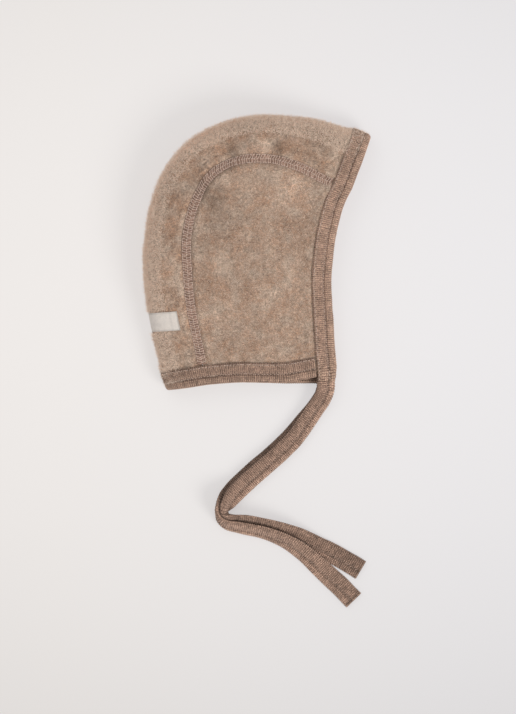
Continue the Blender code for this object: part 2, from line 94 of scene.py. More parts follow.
# Knit of the tapes and ties
RIB_PITCH = 0.0013
RIB_STEPS = 4
ROW_STEP = RIB_PITCH / RIB_STEPS
RIB_DEPTH = 0.00038
RIB_LEVEL = 0.6
RIB_LEAST = 0.35
RIB_WANDER = 0.22
LOOP_PITCH = 0.0010
NEEDLE_SHARE = 0.62
NEEDLE_DEPTH = 0.0008
NEEDLE_WIDTH = 0.0007
EDGE_LINE = 0.0011
# Painted light on the raised outer lane of each tape and tie, and painted shade along their sides.
OUTER_LANE_LIGHT = 0.16
LANE_FADE = 0.0012
SIDE_SHADE = 0.12

# Stitches: how far each thread rises from the cloth at its four points, and how far it is drawn in
STITCH_PITCH = 0.0020
THREAD = 0.00024
TEETH_THREAD = 0.00016
STITCH_RISE = (-0.00022, 0.00013, 0.00013, -0.00022)
TEETH_RISE = (-0.00010, 0.00010, 0.00008, -0.00016)
TEETH_RUN = 0.35
DRAWN_IN = (-0.00008, 0.00006)

# Ties
TIE_HALF = 20
TIE_PLACES = np.arange(2 * TIE_HALF) / TIE_HALF
TIE_LINES = ((12, 0.5), (28, 0.5))
TIE_TEETH = ((12, 10), (28, 30))
TIE_SQUARENESS = 5
TIE_EDGE_DEPTH = 0.0004
TIE_NEEDLE_SHADE = 0.50
TIE_SIDE_FADE = 0.0008
TIE_LUMPS = (0.0055, 0.00012)
TURN_SWELL = 0.75
TURN_REACH = 0.0062
TURN_SPOT = (-0.0198, -0.1668)
TURN_RUN = 0.090
TURN_FADE = 0.018
# Painted shade along each tie before and after its turn: the right tie darker where it lies in the left
# tie's shadow, the left tie darker after the turn, where it stands shaded on edge.
LEFT_TIE_SHADING = (1.0, 0.88)
RIGHT_TIE_SHADING = (0.62, 1.02)
HEM = 0.0016
HEM_CREASE = 0.0004
HEM_SHADE = 0.35
END_REACH = 0.0300
END_SHADE = 0.18
START_LIGHT = 0.10
START_REACH = 0.0200
PATCH_SHADE = 0.10
TIE_PATCH = 0.0080

# Fleece: lumps of its nap as height and size, swells beside what is sewn on it, and its painted light and
# shade
FLEECE_LUMPS = ((0.00030, 0.0120), (0.00016, 0.0042), (0.00010, 0.0017))
CROWN_ROWS = 105
BACK_ROWS = 125
STRIP_COLUMNS = 68
SEAM_PUFF = 0.0009
SEAM_PUFF_REACH = 0.0022
SEAM_CREASE_SHADE = 0.10
TAPE_PUFF = 0.8 * SEAM_PUFF
TAPE_PUFF_REACH = 0.0024
TAPE_CREASE_SHADE = 0.12
CREASE_RISE = 0.0012
CREASE_FADE = 0.0009
# Painted shade in the dents; painted light paler towards the fold and more so along its rim, growing towards
# the crown.
DENT_SHADE = 85.0
FOLD_LIGHT = 0.06
FOLD_FADE = 0.016
RIM_LIGHT = 0.95
RIM_FADE = 0.0044
RIM_LEAST = 0.25
RIM_START = -0.072
RIM_RISE = 0.055
DRAW_IN = 0.0017
DRAW_REACH = 0.006
DRAW_START = 0.034
DRAW_FULL = 0.062
FOLD_REST = 0.0002

# Nap: how many fibres, their length, rise from the cloth, mean tone and half thickness, and the draw of each
Nap = namedtuple("Nap", "count length rise tone fibre seed")
LEFT_NAP = Nap(66000, 0.0017, 0.35, 0.5, 0.000035, 60)
STRIP_NAP = Nap(52000, 0.0017, 0.35, 0.5, 0.000035, 61)
RIGHT_NAP = Nap(8000, 0.0016, 0.35, 0.5, 0.000035, 62)
# The fold's fibres are longer and stand higher, and their pale tone is painted light: a pale halo round the
# fold.
FOLD_NAP = Nap(44000, 0.0031, 1.3, 1.0, 0.000055, 63)
FOLD_COLUMNS = slice(12, 44)
TONE_SPREAD = 0.28

# Seam band
BAND_COLUMNS = 13
BAND_RIB = 0.00016
BAND_CROWN = 0.00042
BAND_SHADE = 0.25
BAND_STITCH = 0.0016
LOOP_THREAD = 0.00026
LOOP_RISE = (-0.0002, 0.00012, 0.00012, -0.0002)
LOOP_DRAWN_IN = (-0.00012, 0.00004)
LOOP_RUN = 0.62
LOOPER_THREAD = 0.00017
LOOPER_RISE = (0.00002, 0.00012)

# Bindings: columns over, round, under and inside the fold, and the relief of the two lanes
TOP_COLUMNS = 24
BEND_COLUMNS = 6
UNDER_COLUMNS = 7
INSIDE_COLUMNS = 3
EDGE_POINTS = 420
NECK_POINTS = 240
FOLD_FLATTENING = 0.75
FOLD_REACH = 0.0070
INNER_LANE = 0.00045
OUTER_LANE = 0.00070
LANE_END = 1.35
HEM_LANE = 0.00025
TAPE_NEEDLE_DEPTH = 0.00065
TAPE_NEEDLE_WIDTH = 0.00060
TAPE_EDGE_DEPTH = 0.00030
TAPE_EDGE_WIDTH = 0.0004
TAPE_NEEDLE_SHADE = 0.42
TAPE_EDGE_SHADE = 0.25
INSIDE_SHADE = 0.6
TAPE_LUMPS = (0.0060, 0.00014)
INTO_TIE = 0.0075
INTO_SEAM = 0.012
TUCK = 0.0022
# Painted shade: the whole neck tape darker where it faces away from the key lamp, and darker near the jaw in
# the upper tape's shadow.
NECK_SHADE = 0.82
JAW_SHADE = 0.45
JAW_REACH = 0.014

# Label
LABEL_ROWS = 25
LABEL_COLUMNS = 61
LABEL_HEM = 0.0014
LABEL_CREASE = 0.0003
LABEL_CREASE_SHADE = 0.16
WARP_PITCH = 0.00042
WEFT_PITCH = 0.00036
SELVEDGE = (0.0054, 0.0058)

# Grains of the cloth: scale, detail, roughness and distortion of a noise, and how much it changes the tone
Grain = namedtuple("Grain", "scale detail roughness distortion depth")
FLEECE_GRAINS = {
    "patches": Grain(90.0, 3.0, 0.6, 0.0, 0.15),
    "clumps": Grain(300.0, 4.0, 0.65, 0.9, 0.34),
    "tufts": Grain(900.0, 3.0, 0.7, 0.6, 0.44),
    "specks": Grain(2100.0, 2.0, 0.8, 0.0, 0.42),
}
RIB_GRAINS = {
    "patches": Grain(130.0, 2.0, 0.5, 0.0, 0.10),
    "clumps": Grain(380.0, 3.0, 0.6, 0.5, 0.34),
    "specks": Grain(1900.0, 2.0, 0.8, 0.0, 0.50),
}
WARM_FLEECE = (0.395, 0.236, 0.154, 1.0)
COOL_FLEECE = (0.411, 0.304, 0.233, 1.0)
DARK_FIBRE = (0.17, 0.105, 0.066, 1.0)
PALE_FIBRE = (0.88, 0.71, 0.58, 1.0)
RIBBON = (0.80, 0.73, 0.67, 1.0)

# Floor and light
FLOOR_COLOUR = np.array((0.862, 0.838, 0.822))
FLOOR_GLOW = 0.66
FLOOR_REACH = 3
FLOOR_DROP = 0.0002
WEST_GLOW = (1.0, 0.958, 0.934, 1.0)
EAST_GLOW = (0.952, 0.938, 0.966, 1.0)
TINT_REACH = 0.13
BRIGHT_X = -0.020
BRIGHT_Y = -0.0115
FADE_X = 0.9
FADE_Y = 2.50
FADE_LEAST = 0.7
Lamp = namedtuple("Lamp", "name place size power colour")
LAMPS = (
    Lamp("key", (3.2, -3.0, 3.2), 2.6, 190.0, (1.0, 0.985, 0.965)),
    Lamp("fill", (-1.6, 2.0, 5.0), 5.0, 60.0, (1.0, 0.995, 0.99)),
)
LAMP_TARGET = (0.0, -0.05, 0.0)
ROOM_COLOUR = (1.0, 0.995, 0.99, 1.0)
ROOM_LIGHT = 0.55

Section = namedtuple("Section", "fold_x fold_y seam_x seam_y")
SECTIONS = (
    Section(0.982, 0.917, 0.898, 0.733),
    Section(0.921, 0.938, 0.826, 0.750),
    Section(0.780, 0.975, 0.692, 0.804),
    Section(0.626, 0.991, 0.568, 0.833),
    Section(0.474, 0.991, 0.449, 0.833),
    Section(0.324, 0.959, 0.348, 0.804),
    Section(0.185, 0.891, 0.286, 0.760),
    Section(0.080, 0.775, 0.238, 0.691),
    Section(0.032, 0.660, 0.211, 0.622),
    Section(0.011, 0.545, 0.194, 0.535),
    Section(0.006, 0.429, 0.198, 0.429),
    Section(0.019, 0.313, 0.211, 0.313),
    Section(0.046, 0.196, 0.238, 0.196),
    Section(0.079, 0.096, 0.260, 0.105),
    Section(0.116, 0.015, 0.276, 0.036),
)
CORNER_SECTION = 6

Spot = namedtuple("Spot", "x y")
FACE_EDGE = (
    Spot(0.898, 0.733),
    Spot(0.864, 0.677),
    Spot(0.843, 0.617),
    Spot(0.828, 0.564),
    Spot(0.814, 0.476),
    Spot(0.807, 0.400),
    Spot(0.811, 0.313),
    Spot(0.818, 0.225),
    Spot(0.824, 0.138),
    Spot(0.832, 0.078),
)
NECK_EDGE = (
    Spot(0.276, 0.036),
    Spot(0.335, 0.041),
    Spot(0.434, 0.046),
    Spot(0.540, 0.044),
    Spot(0.645, 0.047),
    Spot(0.705, 0.056),
    Spot(0.771, 0.067),
    Spot(0.832, 0.078),
)

Dent = namedtuple("Dent", "x y angle length width depth")
DENTS = (
    Dent(0.278, 0.702, -56.0, 0.0170, 0.0060, 0.0026),
    Dent(0.383, 0.836, 60.0, 0.0080, 0.0060, 0.0016),
    Dent(0.577, 0.848, 75.0, 0.0090, 0.0060, 0.0016),
    Dent(0.500, 0.870, 70.0, 0.0090, 0.0065, -0.0007),
    Dent(0.229, 0.484, -86.0, 0.0210, 0.0050, 0.0009),
)

# Spots on the nap, darker or paler: painted shade over two dents, painted light on the ridge between them,
# and patches of darker or paler tone: centre, reach and change of tone
ShadeAndToneSpot = namedtuple("ShadeAndToneSpot", "x y reach light")
SHADE_AND_TONE_SPOTS = (
    ShadeAndToneSpot(-0.0154, 0.0649, 0.0045, -0.26),
    ShadeAndToneSpot(0.0142, 0.0649, 0.0042, -0.30),
    ShadeAndToneSpot(-0.0259, 0.0355, 0.0080, -0.16),
    ShadeAndToneSpot(0.0387, 0.0739, 0.0120, -0.16),
    ShadeAndToneSpot(0.0061, 0.0655, 0.0050, 0.22),
    ShadeAndToneSpot(0.0246, 0.0419, 0.0120, 0.12),
    ShadeAndToneSpot(-0.0266, 0.0675, 0.0080, 0.14),
    ShadeAndToneSpot(-0.0430, 0.0640, 0.0110, 0.17),
)

Lay = namedtuple("Lay", "x y lift roll")
LEFT_ROUTE = (
    Lay(0.0443, -0.0822, 0.0086, 0),
    Lay(0.0444, -0.0860, 0.0080, 0),
    Lay(0.0435, -0.0900, 0.0066, 0),
    Lay(0.0413, -0.0947, 0.0048, 0),
    Lay(0.0378, -0.0998, 0.0035, 0),
    Lay(0.0322, -0.1082, 0.0031, 0),
    Lay(0.0243, -0.1190, 0.0031, 0),
    Lay(0.0129, -0.1303, 0.0031, 0),
    Lay(0.0000, -0.1414, 0.0031, 0),
    Lay(-0.0084, -0.1491, 0.0031, 0),
    Lay(-0.0130, -0.1536, 0.0030, 12),
    Lay(-0.0170, -0.1586, 0.0024, 36),
    Lay(-0.0196, -0.1628, 0.0016, 62),
    Lay(-0.0204, -0.1664, 0.0005, 85),
    Lay(-0.0189, -0.1693, 0.0000, 105),
    Lay(-0.0144, -0.1709, 0.0000, 120),
    Lay(-0.0072, -0.1716, 0.0000, 126),
    Lay(0.0036, -0.1738, 0.0000, 130),
    Lay(0.0165, -0.1776, 0.0000, 142),
    Lay(0.0268, -0.1818, 0.0000, 158),
    Lay(0.0357, -0.1864, 0.0000, 172),
    Lay(0.0459, -0.1913, 0.0000, 180),
    Lay(0.0554, -0.1964, 0.0000, 180),
    Lay(0.0668, -0.2032, 0.0000, 180),
)
RIGHT_ROUTE = (
    Lay(0.0437, -0.0879, 0.0009, 0),
    Lay(0.0427, -0.0912, 0.0004, 0),
    Lay(0.0400, -0.0957, 0.0000, 0),
    Lay(0.0362, -0.1008, 0.0000, 0),
    Lay(0.0303, -0.1079, 0.0000, 0),
    Lay(0.0224, -0.1171, 0.0000, 0),
    Lay(0.0110, -0.1284, 0.0000, 0),
    Lay(-0.0019, -0.1395, 0.0000, 0),
    Lay(-0.0102, -0.1472, 0.0000, 0),
    Lay(-0.0154, -0.1523, 0.0000, 12),
    Lay(-0.0199, -0.1570, 0.0000, 36),
    Lay(-0.0231, -0.1618, 0.0000, 64),
    Lay(-0.0244, -0.1658, 0.0000, 85),
    Lay(-0.0235, -0.1702, 0.0000, 100),
    Lay(-0.0192, -0.1738, 0.0000, 115),
    Lay(-0.0105, -0.1759, 0.0000, 124),
    Lay(0.0036, -0.1788, 0.0000, 127),
    Lay(0.0171, -0.1838, 0.0000, 135),
    Lay(0.0279, -0.1904, 0.0000, 148),
    Lay(0.0357, -0.1969, 0.0000, 156),
    Lay(0.0439, -0.2047, 0.0000, 170),
    Lay(0.0523, -0.2124, 0.0000, 180),
    Lay(0.0623, -0.2226, 0.0000, 180),
)


def ease(value):
    """Smooth step from 0 to 1."""
    share = np.clip(value, 0.0, 1.0)
    return share * share * (3.0 - 2.0 * share)


def bell(value, width):
    """Soft bump of height 1 at zero."""
    return np.exp(-((value / width) ** 2))


def smooth_curve(points, shares):
    """Points at the given shares of a smooth curve through the given points."""
    points = np.asarray(points, float)
    shares = np.asarray(shares, float)
    steps = np.linalg.norm(np.diff(points, axis=0), axis=1)
    knots = np.concatenate(([0.0], np.cumsum(steps))) / steps.sum()
    slopes = np.gradient(points, knots, axis=0)
    index = np.clip(np.searchsorted(knots, shares, side="right") - 1, 0, len(knots) - 2)
    width = (knots[index + 1] - knots[index])[:, None]
    part = (shares - knots[index])[:, None] / width
    start_weight = 2 * part**3 - 3 * part**2 + 1
    end_weight = 3 * part**2 - 2 * part**3
    start_slope = part**3 - 2 * part**2 + part
    end_slope = part**3 - part**2
    return (
        start_weight * points[index]
        + end_weight * points[index + 1]
        + width * (start_slope * slopes[index] + end_slope * slopes[index + 1])
    )


def running_length(curve):
    """Length of the sampled curve up to each of its points."""
    return np.concatenate(([0.0], np.cumsum(np.linalg.norm(np.diff(curve, axis=0), axis=1))))


def even_shares(curve, count):
    """Shares of the sampled curve that divide its length into equal steps."""
    lengths = running_length(curve)
    native = np.linspace(0.0, 1.0, len(curve))
    return np.interp(np.linspace(0.0, lengths[-1], count + 1), lengths, native)


def resampled(line, count):
    """The line in equal steps."""
    lengths = running_length(line)
    places = np.linspace(0.0, lengths[-1], count + 1)
    return np.stack([np.interp(places, lengths, line[:, i]) for i in range(line.shape[1])], axis=1)


def unit(vectors):
    """Vectors scaled to length one."""
    return vectors / np.linalg.norm(vectors, axis=-1, keepdims=True)


def in_plan(rows):
    """Table shares turned into metres about the middle of the bonnet."""
    scale = np.tile((BODY_DEPTH, BODY_HEIGHT), len(rows[0]) // 2)
    return (np.array(rows) - 0.5) * scale


FINE = np.linspace(0.0, 1.0, 961)
SECTION_PLAN = in_plan(SECTIONS)
SEAM_LINE = smooth_curve(SECTION_PLAN, FINE)[:, 2:]
FACE_LINE = smooth_curve(in_plan(FACE_EDGE), FINE)
NECK_LINE = smooth_curve(in_plan(NECK_EDGE), FINE)
FOREHEAD_FOLD = SECTION_PLAN[0, :2]
NAPE_FOLD = SECTION_PLAN[-1, :2]
JAW = FACE_LINE[-1]
BINDING_REACH = GAP + FLEECE / 2 + GAP + RIB
BINDING_COVER = BINDING_WIDTH - BINDING_REACH


def slipped(line, axis, start):
    """The lower layer's edge, slid down towards the jaw, where it peeks out under the upper one."""
    share = np.clip((line[:, axis] - start) / (JAW[axis] - start), 0.0, 1.0)
    return line - np.column_stack((np.zeros(len(line)), JAW_SLIP * share**2))


LOWER_FACE_LINE = slipped(FACE_LINE, 1, (SLIP_SHARE_Y - 0.5) * BODY_HEIGHT)
LOWER_NECK_LINE = slipped(NECK_LINE, 0, (SLIP_SHARE_X - 0.5) * BODY_DEPTH)


def face_x(y, line):
    """X of the face edge at a height in plan, up to the forehead fold."""
    edge = np.vstack((line[::-1], FOREHEAD_FOLD))
    return np.interp(y, edge[:, 1], edge[:, 0])


def neck_y(x, line):
    """Y of the neck edge at a depth in plan, out to the nape fold."""
    edge = np.vstack((NAPE_FOLD, line))
    return np.interp(x, edge[:, 0], edge[:, 1])


def dents(x, y):
    """Depth change of the upper layer from all its dents."""
    change = np.zeros_like(x)
    for dent in DENTS:
        east = x - (dent.x - 0.5) * BODY_DEPTH
        north = y - (dent.y - 0.5) * BODY_HEIGHT
        cosine = math.cos(math.radians(dent.angle))
        sine = math.sin(math.radians(dent.angle))
        along = (east * cosine + north * sine) / dent.length
        across = (north * cosine - east * sine) / dent.width
        change -= dent.depth * np.exp(-(along**2) - across**2)
    return change


def upper_height(x, y):
    """Height of the middle of the upper layer, without its dents."""
    upward = np.clip((y - JAW[1]) / (FACE_LINE[0, 1] - JAW[1]), 0.0, 1.0)
    backward = np.clip((JAW[0] - x) / (JAW[0] - NECK_LINE[0, 0]), 0.0, 1.0)
    edge = JAW_HEIGHT + (FOREHEAD_HEIGHT - JAW_HEIGHT) * upward + (NAPE_HEIGHT - JAW_HEIGHT) * backward
    rise = ease((face_x(y, FACE_LINE) - x) / FACE_RISE) * ease((y - neck_y(x, NECK_LINE)) / NECK_RISE)
    return edge + (CROWN_HEIGHT - edge) * rise


def line_distance(line, x, y):
    """Distance in plan from the nearest point of a line."""
    nearest = np.full(np.shape(x), np.inf)
    for point in line:
        nearest = np.minimum(nearest, np.hypot(x - point[0], y - point[1]))
    return nearest


def seam_distance(x, y):
    """Distance in plan from the line of the crown seam."""
    return line_distance(SEAM_LINE[::8], x, y)


def lower_height(x, y):
    """Height of the middle of the lower layer: flat on the floor, lifted by the tapes beneath it."""
    to_face = face_x(y, LOWER_FACE_LINE) - x
    to_neck = y - neck_y(x, LOWER_NECK_LINE)
    edge_distance = np.minimum(to_face, to_neck)
    off_seam = seam_distance(x, y) - SEAM_WIDTH / 2 - RAMP_MARGIN
    off_binding = edge_distance - BINDING_COVER - RAMP_MARGIN
    over_seam = (GAP + SEAM_TAPE + FLOOR_GAP) * (1.0 - ease(off_seam / RAMP))
    over_binding = (GAP + RIB + FLOOR_GAP) * (1.0 - ease(off_binding / RAMP))
    return FLEECE / 2 + np.maximum(over_seam, over_binding)


def section_at(shares):
    """Fold point, seam point, seam heights above and below, of the strip's sections."""
    rows = smooth_curve(SECTION_PLAN, shares)
    fold, seam = rows[:, :2], rows[:, 2:]
    high = upper_height(seam[:, 0], seam[:, 1])
    low = lower_height(seam[:, 0], seam[:, 1])
    return fold, seam, high, low


def strip_points(shares, angles):
    """Grid of points on the strip: a row per section, a column per angle, 90 above to -90 below."""
    fold, seam, high, low = section_at(shares)
    sine, cosine = np.sin(np.radians(angles)), np.abs(np.cos(np.radians(angles)))
    power = np.where(sine >= 0, 2.0 / UPPER_ROUNDNESS, 2.0 / LOWER_ROUNDNESS)
    inset = 1.0 - cosine**power
    swell = np.abs(sine) ** power
    span = seam - fold
    length = np.linalg.norm(span, axis=1)
    span = span * (1.0 - SEAM_GAP / 2 / length)[:, None]
    plan = fold[:, None, :] + span[:, None, :] * inset[None, :, None]
    off_tapes = ease((np.minimum(shares, 1.0 - shares) - DRAW_START) / (DRAW_FULL - DRAW_START))
    drawn_in = DRAW_IN * off_tapes[:, None] * bell(length[:, None] * inset[None], DRAW_REACH)
    plan += unit(span)[:, None, :] * drawn_in[..., None]
    middle = low + FOLD_SHARE * (high - low)
    reach = np.where(sine >= 0, (high - middle)[:, None], (low - middle)[:, None])
    height = middle[:, None] + reach * swell[None, :]
    height += dents(plan[..., 0], plan[..., 1]) * np.clip(sine, 0.0, 1.0)[None, :] ** 2
    return np.dstack((plan, height))


def layer_points(plan, upper):
    """Points of a side layer over the given plan points."""
    x, y = plan[..., 0], plan[..., 1]
    height = upper_height(x, y) + dents(x, y) if upper else lower_height(x, y)
    return np.concatenate((plan, height[..., None]), axis=-1)


def grid_normals(grid, wrapped=False):
    """Unit normals of a grid of points, whose columns may run round a closed loop."""
    if wrapped:
        across = np.roll(grid, -1, axis=1) - np.roll(grid, 1, axis=1)
    else:
        across = np.gradient(grid, axis=1)
    return unit(np.cross(np.gradient(grid, axis=0), across))


def value_noise(points, size, seed):
    """Smooth noise from -1 to 1 whose lumps are about the given size."""
    table = np.random.default_rng(seed).uniform(-1.0, 1.0, (32, 32, 32))
    spots = np.asarray(points) / size + 100.0
    base = np.floor(spots).astype(int)
    part = spots - base
    part = part * part * (3.0 - 2.0 * part)
    total = np.zeros(spots.shape[:-1])
    for corner in np.ndindex(2, 2, 2):
        index = (base + np.array(corner)) % 32
        weight = np.prod(np.where(np.array(corner) == 1, part, 1.0 - part), axis=-1)
        total += weight * table[index[..., 0], index[..., 1], index[..., 2]]
    return total


def grid_faces(rows, columns, wrapped=False, offset=0):
    """Four-cornered faces of a grid whose columns may close into a loop."""
    last = columns if wrapped else columns - 1
    row, column = np.meshgrid(np.arange(rows - 1), np.arange(last), indexing="ij")
    beside = (column + 1) % columns
    corners = (row * columns + column, (row + 1) * columns + column,
               (row + 1) * columns + beside, row * columns + beside)
    return offset + np.stack(corners, axis=-1).reshape(-1, 4)


def new_piece(name, points, faces, material, runs=None, painted_shading_and_tone=None, tones=None):
    """Smooth mesh piece with its material, its cloth coordinates and its painted values."""
    mesh = bpy.data.meshes.new(name)
    mesh.from_pydata(np.asarray(points).reshape(-1, 3).tolist(), [], faces)
    mesh.materials.append(material)
    # The first painted value is painted light and shade, with some random tone, which the materials multiply
    # into the colour.
    for label, values in (("painted_shading_and_tone", painted_shading_and_tone), ("tone", tones)):
        if values is not None:
            layer = mesh.attributes.new(label, "FLOAT", "POINT")
            layer.data.foreach_set("value", np.ravel(values).astype(np.float32))
    if runs is not None:
        corners = np.zeros(len(mesh.loops), np.int32)
        mesh.loops.foreach_get("vertex_index", corners)
        layer = mesh.uv_layers.new(name="run")
        layer.data.foreach_set("uv", np.asarray(runs).reshape(-1, 2)[corners].astype(np.float32).ravel())
    mesh.shade_smooth()
    piece = bpy.data.objects.new(name, mesh)
    bpy.context.scene.collection.objects.link(piece)
    return piece


def settle(piece, node=None):
    """The piece rides on the bonnet's one body and may stand in for a CAD node, which it hides."""
    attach(piece, "root")
    if node is not None:
        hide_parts(node)


def wall(name, outer, inner, material, shade, node, runs=None):
    """Closed wall between two grids of points that share their shade and cloth coordinates."""
    rows, columns = outer.shape[:2]
    count = rows * columns
    index = np.arange(count).reshape(rows, columns)
    rim = np.concatenate((index[:, 0], index[-1, 1:], index[-2::-1, -1], index[0, -2:0:-1]))
    following = np.roll(rim, -1)
    border = np.stack((rim, rim + count, following + count, following), axis=1)
    sheets = grid_faces(rows, columns)[:, ::-1], grid_faces(rows, columns, offset=count)
    faces = np.concatenate((*sheets, border)).tolist()
    points = np.concatenate((outer.reshape(-1, 3), inner.reshape(-1, 3)))
    both = None if runs is None else np.concatenate((runs, runs))
    piece = new_piece(name, points, faces, material, both, np.tile(shade.ravel(), 2))
    settle(piece, node)


def tube_faces(rows, columns):
    """Faces of a closed tube of points, with one face over each of its ends."""
    ends = [list(range(columns)), list(range((rows - 1) * columns, rows * columns))[::-1]]
    return grid_faces(rows, columns, wrapped=True).tolist() + ends


def cloth_runs(count, across):
    """Cloth coordinates of a grid of rows: ribs along it and the given places across it."""
    along = np.arange(count) / RIB_STEPS
    return np.dstack(np.broadcast_arrays(along[:, None], across))


# Materials


def add_node(tree, kind, inputs=(), **settings):
    """Shader node with its settings, and its inputs given as values or as sockets to link."""
    node = tree.nodes.new(kind)
    for key, value in settings.items():
        setattr(node, key, value)
    for key, value in dict(inputs).items():
        if isinstance(value, bpy.types.NodeSocket):
            tree.links.new(value, node.inputs[key])
        else:
            node.inputs[key].default_value = value
    return node


def new_material(name, roughness, sheen, sheen_tint):
    """Cloth material: its node tree and its shader."""
    material = bpy.data.materials.new(name)
    material.use_nodes = True
    tree = material.node_tree
    shader = tree.nodes["Principled BSDF"]
    shader.inputs["Roughness"].default_value = roughness
    shader.inputs["Specular IOR Level"].default_value = 0.15
    shader.inputs["Sheen Weight"].default_value = sheen
    shader.inputs["Sheen Roughness"].default_value = 0.6
    shader.inputs["Sheen Tint"].default_value = (*sheen_tint, 1.0)
    return material, tree, shader


def noise_value(tree, where, scale, detail, roughness=0.5, distortion=0.0):
    """Noise texture's value over the given coordinates."""
    inputs = {"Vector": where, "Scale": scale, "Detail": detail}
    inputs.update({"Roughness": roughness, "Distortion": distortion})
    return add_node(tree, "ShaderNodeTexNoise", inputs).outputs["Fac"]


def maths(tree, operation, first, second=0.0):
    """One operation on two values."""
    return add_node(tree, "ShaderNodeMath", {0: first, 1: second}, operation=operation).outputs[0]


def times(tree, value, *factors):
    """Product of several values."""
    for factor in factors:
        value = maths(tree, "MULTIPLY", value, factor)
    return value


def spread(tree, value, low, high, bottom, top):
    """Value rescaled from one range to another and held inside it."""
    inputs = {"Value": value, "From Min": low, "From Max": high, "To Min": bottom, "To Max": top}
    return add_node(tree, "ShaderNodeMapRange", inputs).outputs["Result"]


def swing(tree, noise, bottom, top):
    """A noise value rescaled from its usual range."""
    return spread(tree, noise, 0.3, 0.7, bottom, top)


def waves(tree, value, pitch):
    """Sine waves at a given pitch."""
    return maths(tree, "SINE", times(tree, value, math.tau / pitch))


def mix_colour(tree, share, first, second, blend="MIX"):
    """Mix of two colours."""
    inputs = {0: share, 6: first, 7: second}
    return add_node(tree, "ShaderNodeMix", inputs, data_type="RGBA", blend_type=blend).outputs[2]


def painted(tree, label):
    """A value painted on the mesh."""
    return add_node(tree, "ShaderNodeAttribute", attribute_name=label).outputs["Fac"]


def bump(tree, shader, height, distance):
    """Fine relief from a height value."""
    inputs = {"Height": height, "Distance": distance, "Strength": 1.0}
    tree.links.new(add_node(tree, "ShaderNodeBump", inputs).outputs["Normal"], shader.inputs["Normal"])


def grey(tree, value):
    """A value as a grey colour."""
    return add_node(tree, "ShaderNodeCombineColor", {0: value, 1: value, 2: value}).outputs[0]


def coloured(tree, shader, base, light):
    """The shader's colour: a base colour under a tone."""
    colour = mix_colour(tree, 1.0, base, grey(tree, light), "MULTIPLY")
    tree.links.new(colour, shader.inputs["Base Color"])


def object_place(tree):
    """Place on the piece in metres."""
    return add_node(tree, "ShaderNodeTexCoord").outputs["Object"]


def cloth_place(tree):
    """Place along and across a band, from its cloth coordinates."""
    run = add_node(tree, "ShaderNodeUVMap", uv_map="run").outputs["UV"]
    parts = add_node(tree, "ShaderNodeSeparateXYZ", {0: run})
    return parts.outputs["X"], parts.outputs["Y"]


def grain_values(tree, where, grains):
    """Noise value of each grain."""
    return {name: noise_value(tree, where, *grain[:-1]) for name, grain in grains.items()}


def grained(tree, light, values, grains):
    """A tone made darker and lighter by each grain in turn."""
    changes = [
        swing(tree, values[name], 1.0 - grain.depth, 1.0 + grain.depth) for name, grain in grains.items()
    ]
    return times(tree, light, *changes)


def fleece_material():
    """Mottled brushed wool: warm and cool patches, fine heather and a soft nap."""
    material, tree, shader = new_material("brushed_wool_fleece", 0.95, 0.45, (0.85, 0.72, 0.62))
    where = object_place(tree)
    regions = spread(tree, noise_value(tree, where, 38.0, 2.0), 0.35, 0.65, 0.88, 1.12)
    values = grain_values(tree, where, FLEECE_GRAINS)
    coolness = spread(tree, values["patches"], 0.37, 0.63, 0.0, 1.0)
    # The painted value darkens and lightens the fleece with its painted shade and painted light.
    light = grained(tree, times(tree, regions, painted(tree, "painted_shading_and_tone")), values, FLEECE_GRAINS)
    coloured(tree, shader, mix_colour(tree, coolness, WARM_FLEECE, COOL_FLEECE), light)
    bump(tree, shader, maths(tree, "ADD", values["clumps"], times(tree, values["tufts"], 0.6)), 0.0011)
    return material


def nap_material():
    """Single wool fibres, each with its own tone."""
    material, tree, shader = new_material("wool_fibres", 0.9, 0.2, (0.9, 0.85, 0.8))
    fibre_colour = mix_colour(tree, painted(tree, "tone"), DARK_FIBRE, PALE_FIBRE)
    tree.links.new(fibre_colour, shader.inputs["Base Color"])
    return material


def rib_material(name, ridge_colour, valley_shade_colour, loop_depth):
    """Rib knit whose loops stand in rows across the tape, with painted shade in the valleys between its
    ribs.
    """
    material, tree, shader = new_material(name, 0.9, 0.25, (0.75, 0.66, 0.60))
    where = object_place(tree)
    along, across = cloth_place(tree)
    values = grain_values(tree, where, RIB_GRAINS)
    wander = swing(tree, noise_value(tree, where, 520.0, 2.0), -RIB_WANDER, RIB_WANDER)
    phase = maths(tree, "FRACT", maths(tree, "ADD", along, wander))
    valley = maths(tree, "ABSOLUTE", maths(tree, "SUBTRACT", phase, 0.5))
    loops = waves(tree, maths(tree, "ADD", across, valley), 1.0)
    opened = spread(tree, noise_value(tree, where, 260.0, 3.0, 0.6), 0.38, 0.62, 0.55, 1.0)
    # Painted shade: the valleys between the ribs take a darker copy of the yarn's colour.
    valley_shade = times(tree, spread(tree, valley, 0.20, 0.48, 0.0, 1.0), opened)
    base = mix_colour(tree, valley_shade, (*ridge_colour, 1.0), (*valley_shade_colour, 1.0))
    loop_light = spread(tree, loops, -1.0, 1.0, 1.0 - loop_depth, 1.0 + loop_depth)
    # The painted value adds painted shade in grooves and creases and painted light on the outer lane.
    light = times(tree, painted(tree, "painted_shading_and_tone"), loop_light)
    coloured(tree, shader, base, grained(tree, light, values, RIB_GRAINS))
    bump(tree, shader, maths(tree, "ADD", times(tree, loops, 0.5), values["specks"]), 0.00022)
    return material


def thread_material(name, colour):
    """Sewing thread with a slight twist in its tone."""
    material, tree, shader = new_material(name, 0.7, 0.15, (0.9, 0.85, 0.8))
    specks = noise_value(tree, object_place(tree), 1600.0, 2.0)
    coloured(tree, shader, (*colour, 1.0), swing(tree, specks, 0.75, 1.25))
    return material


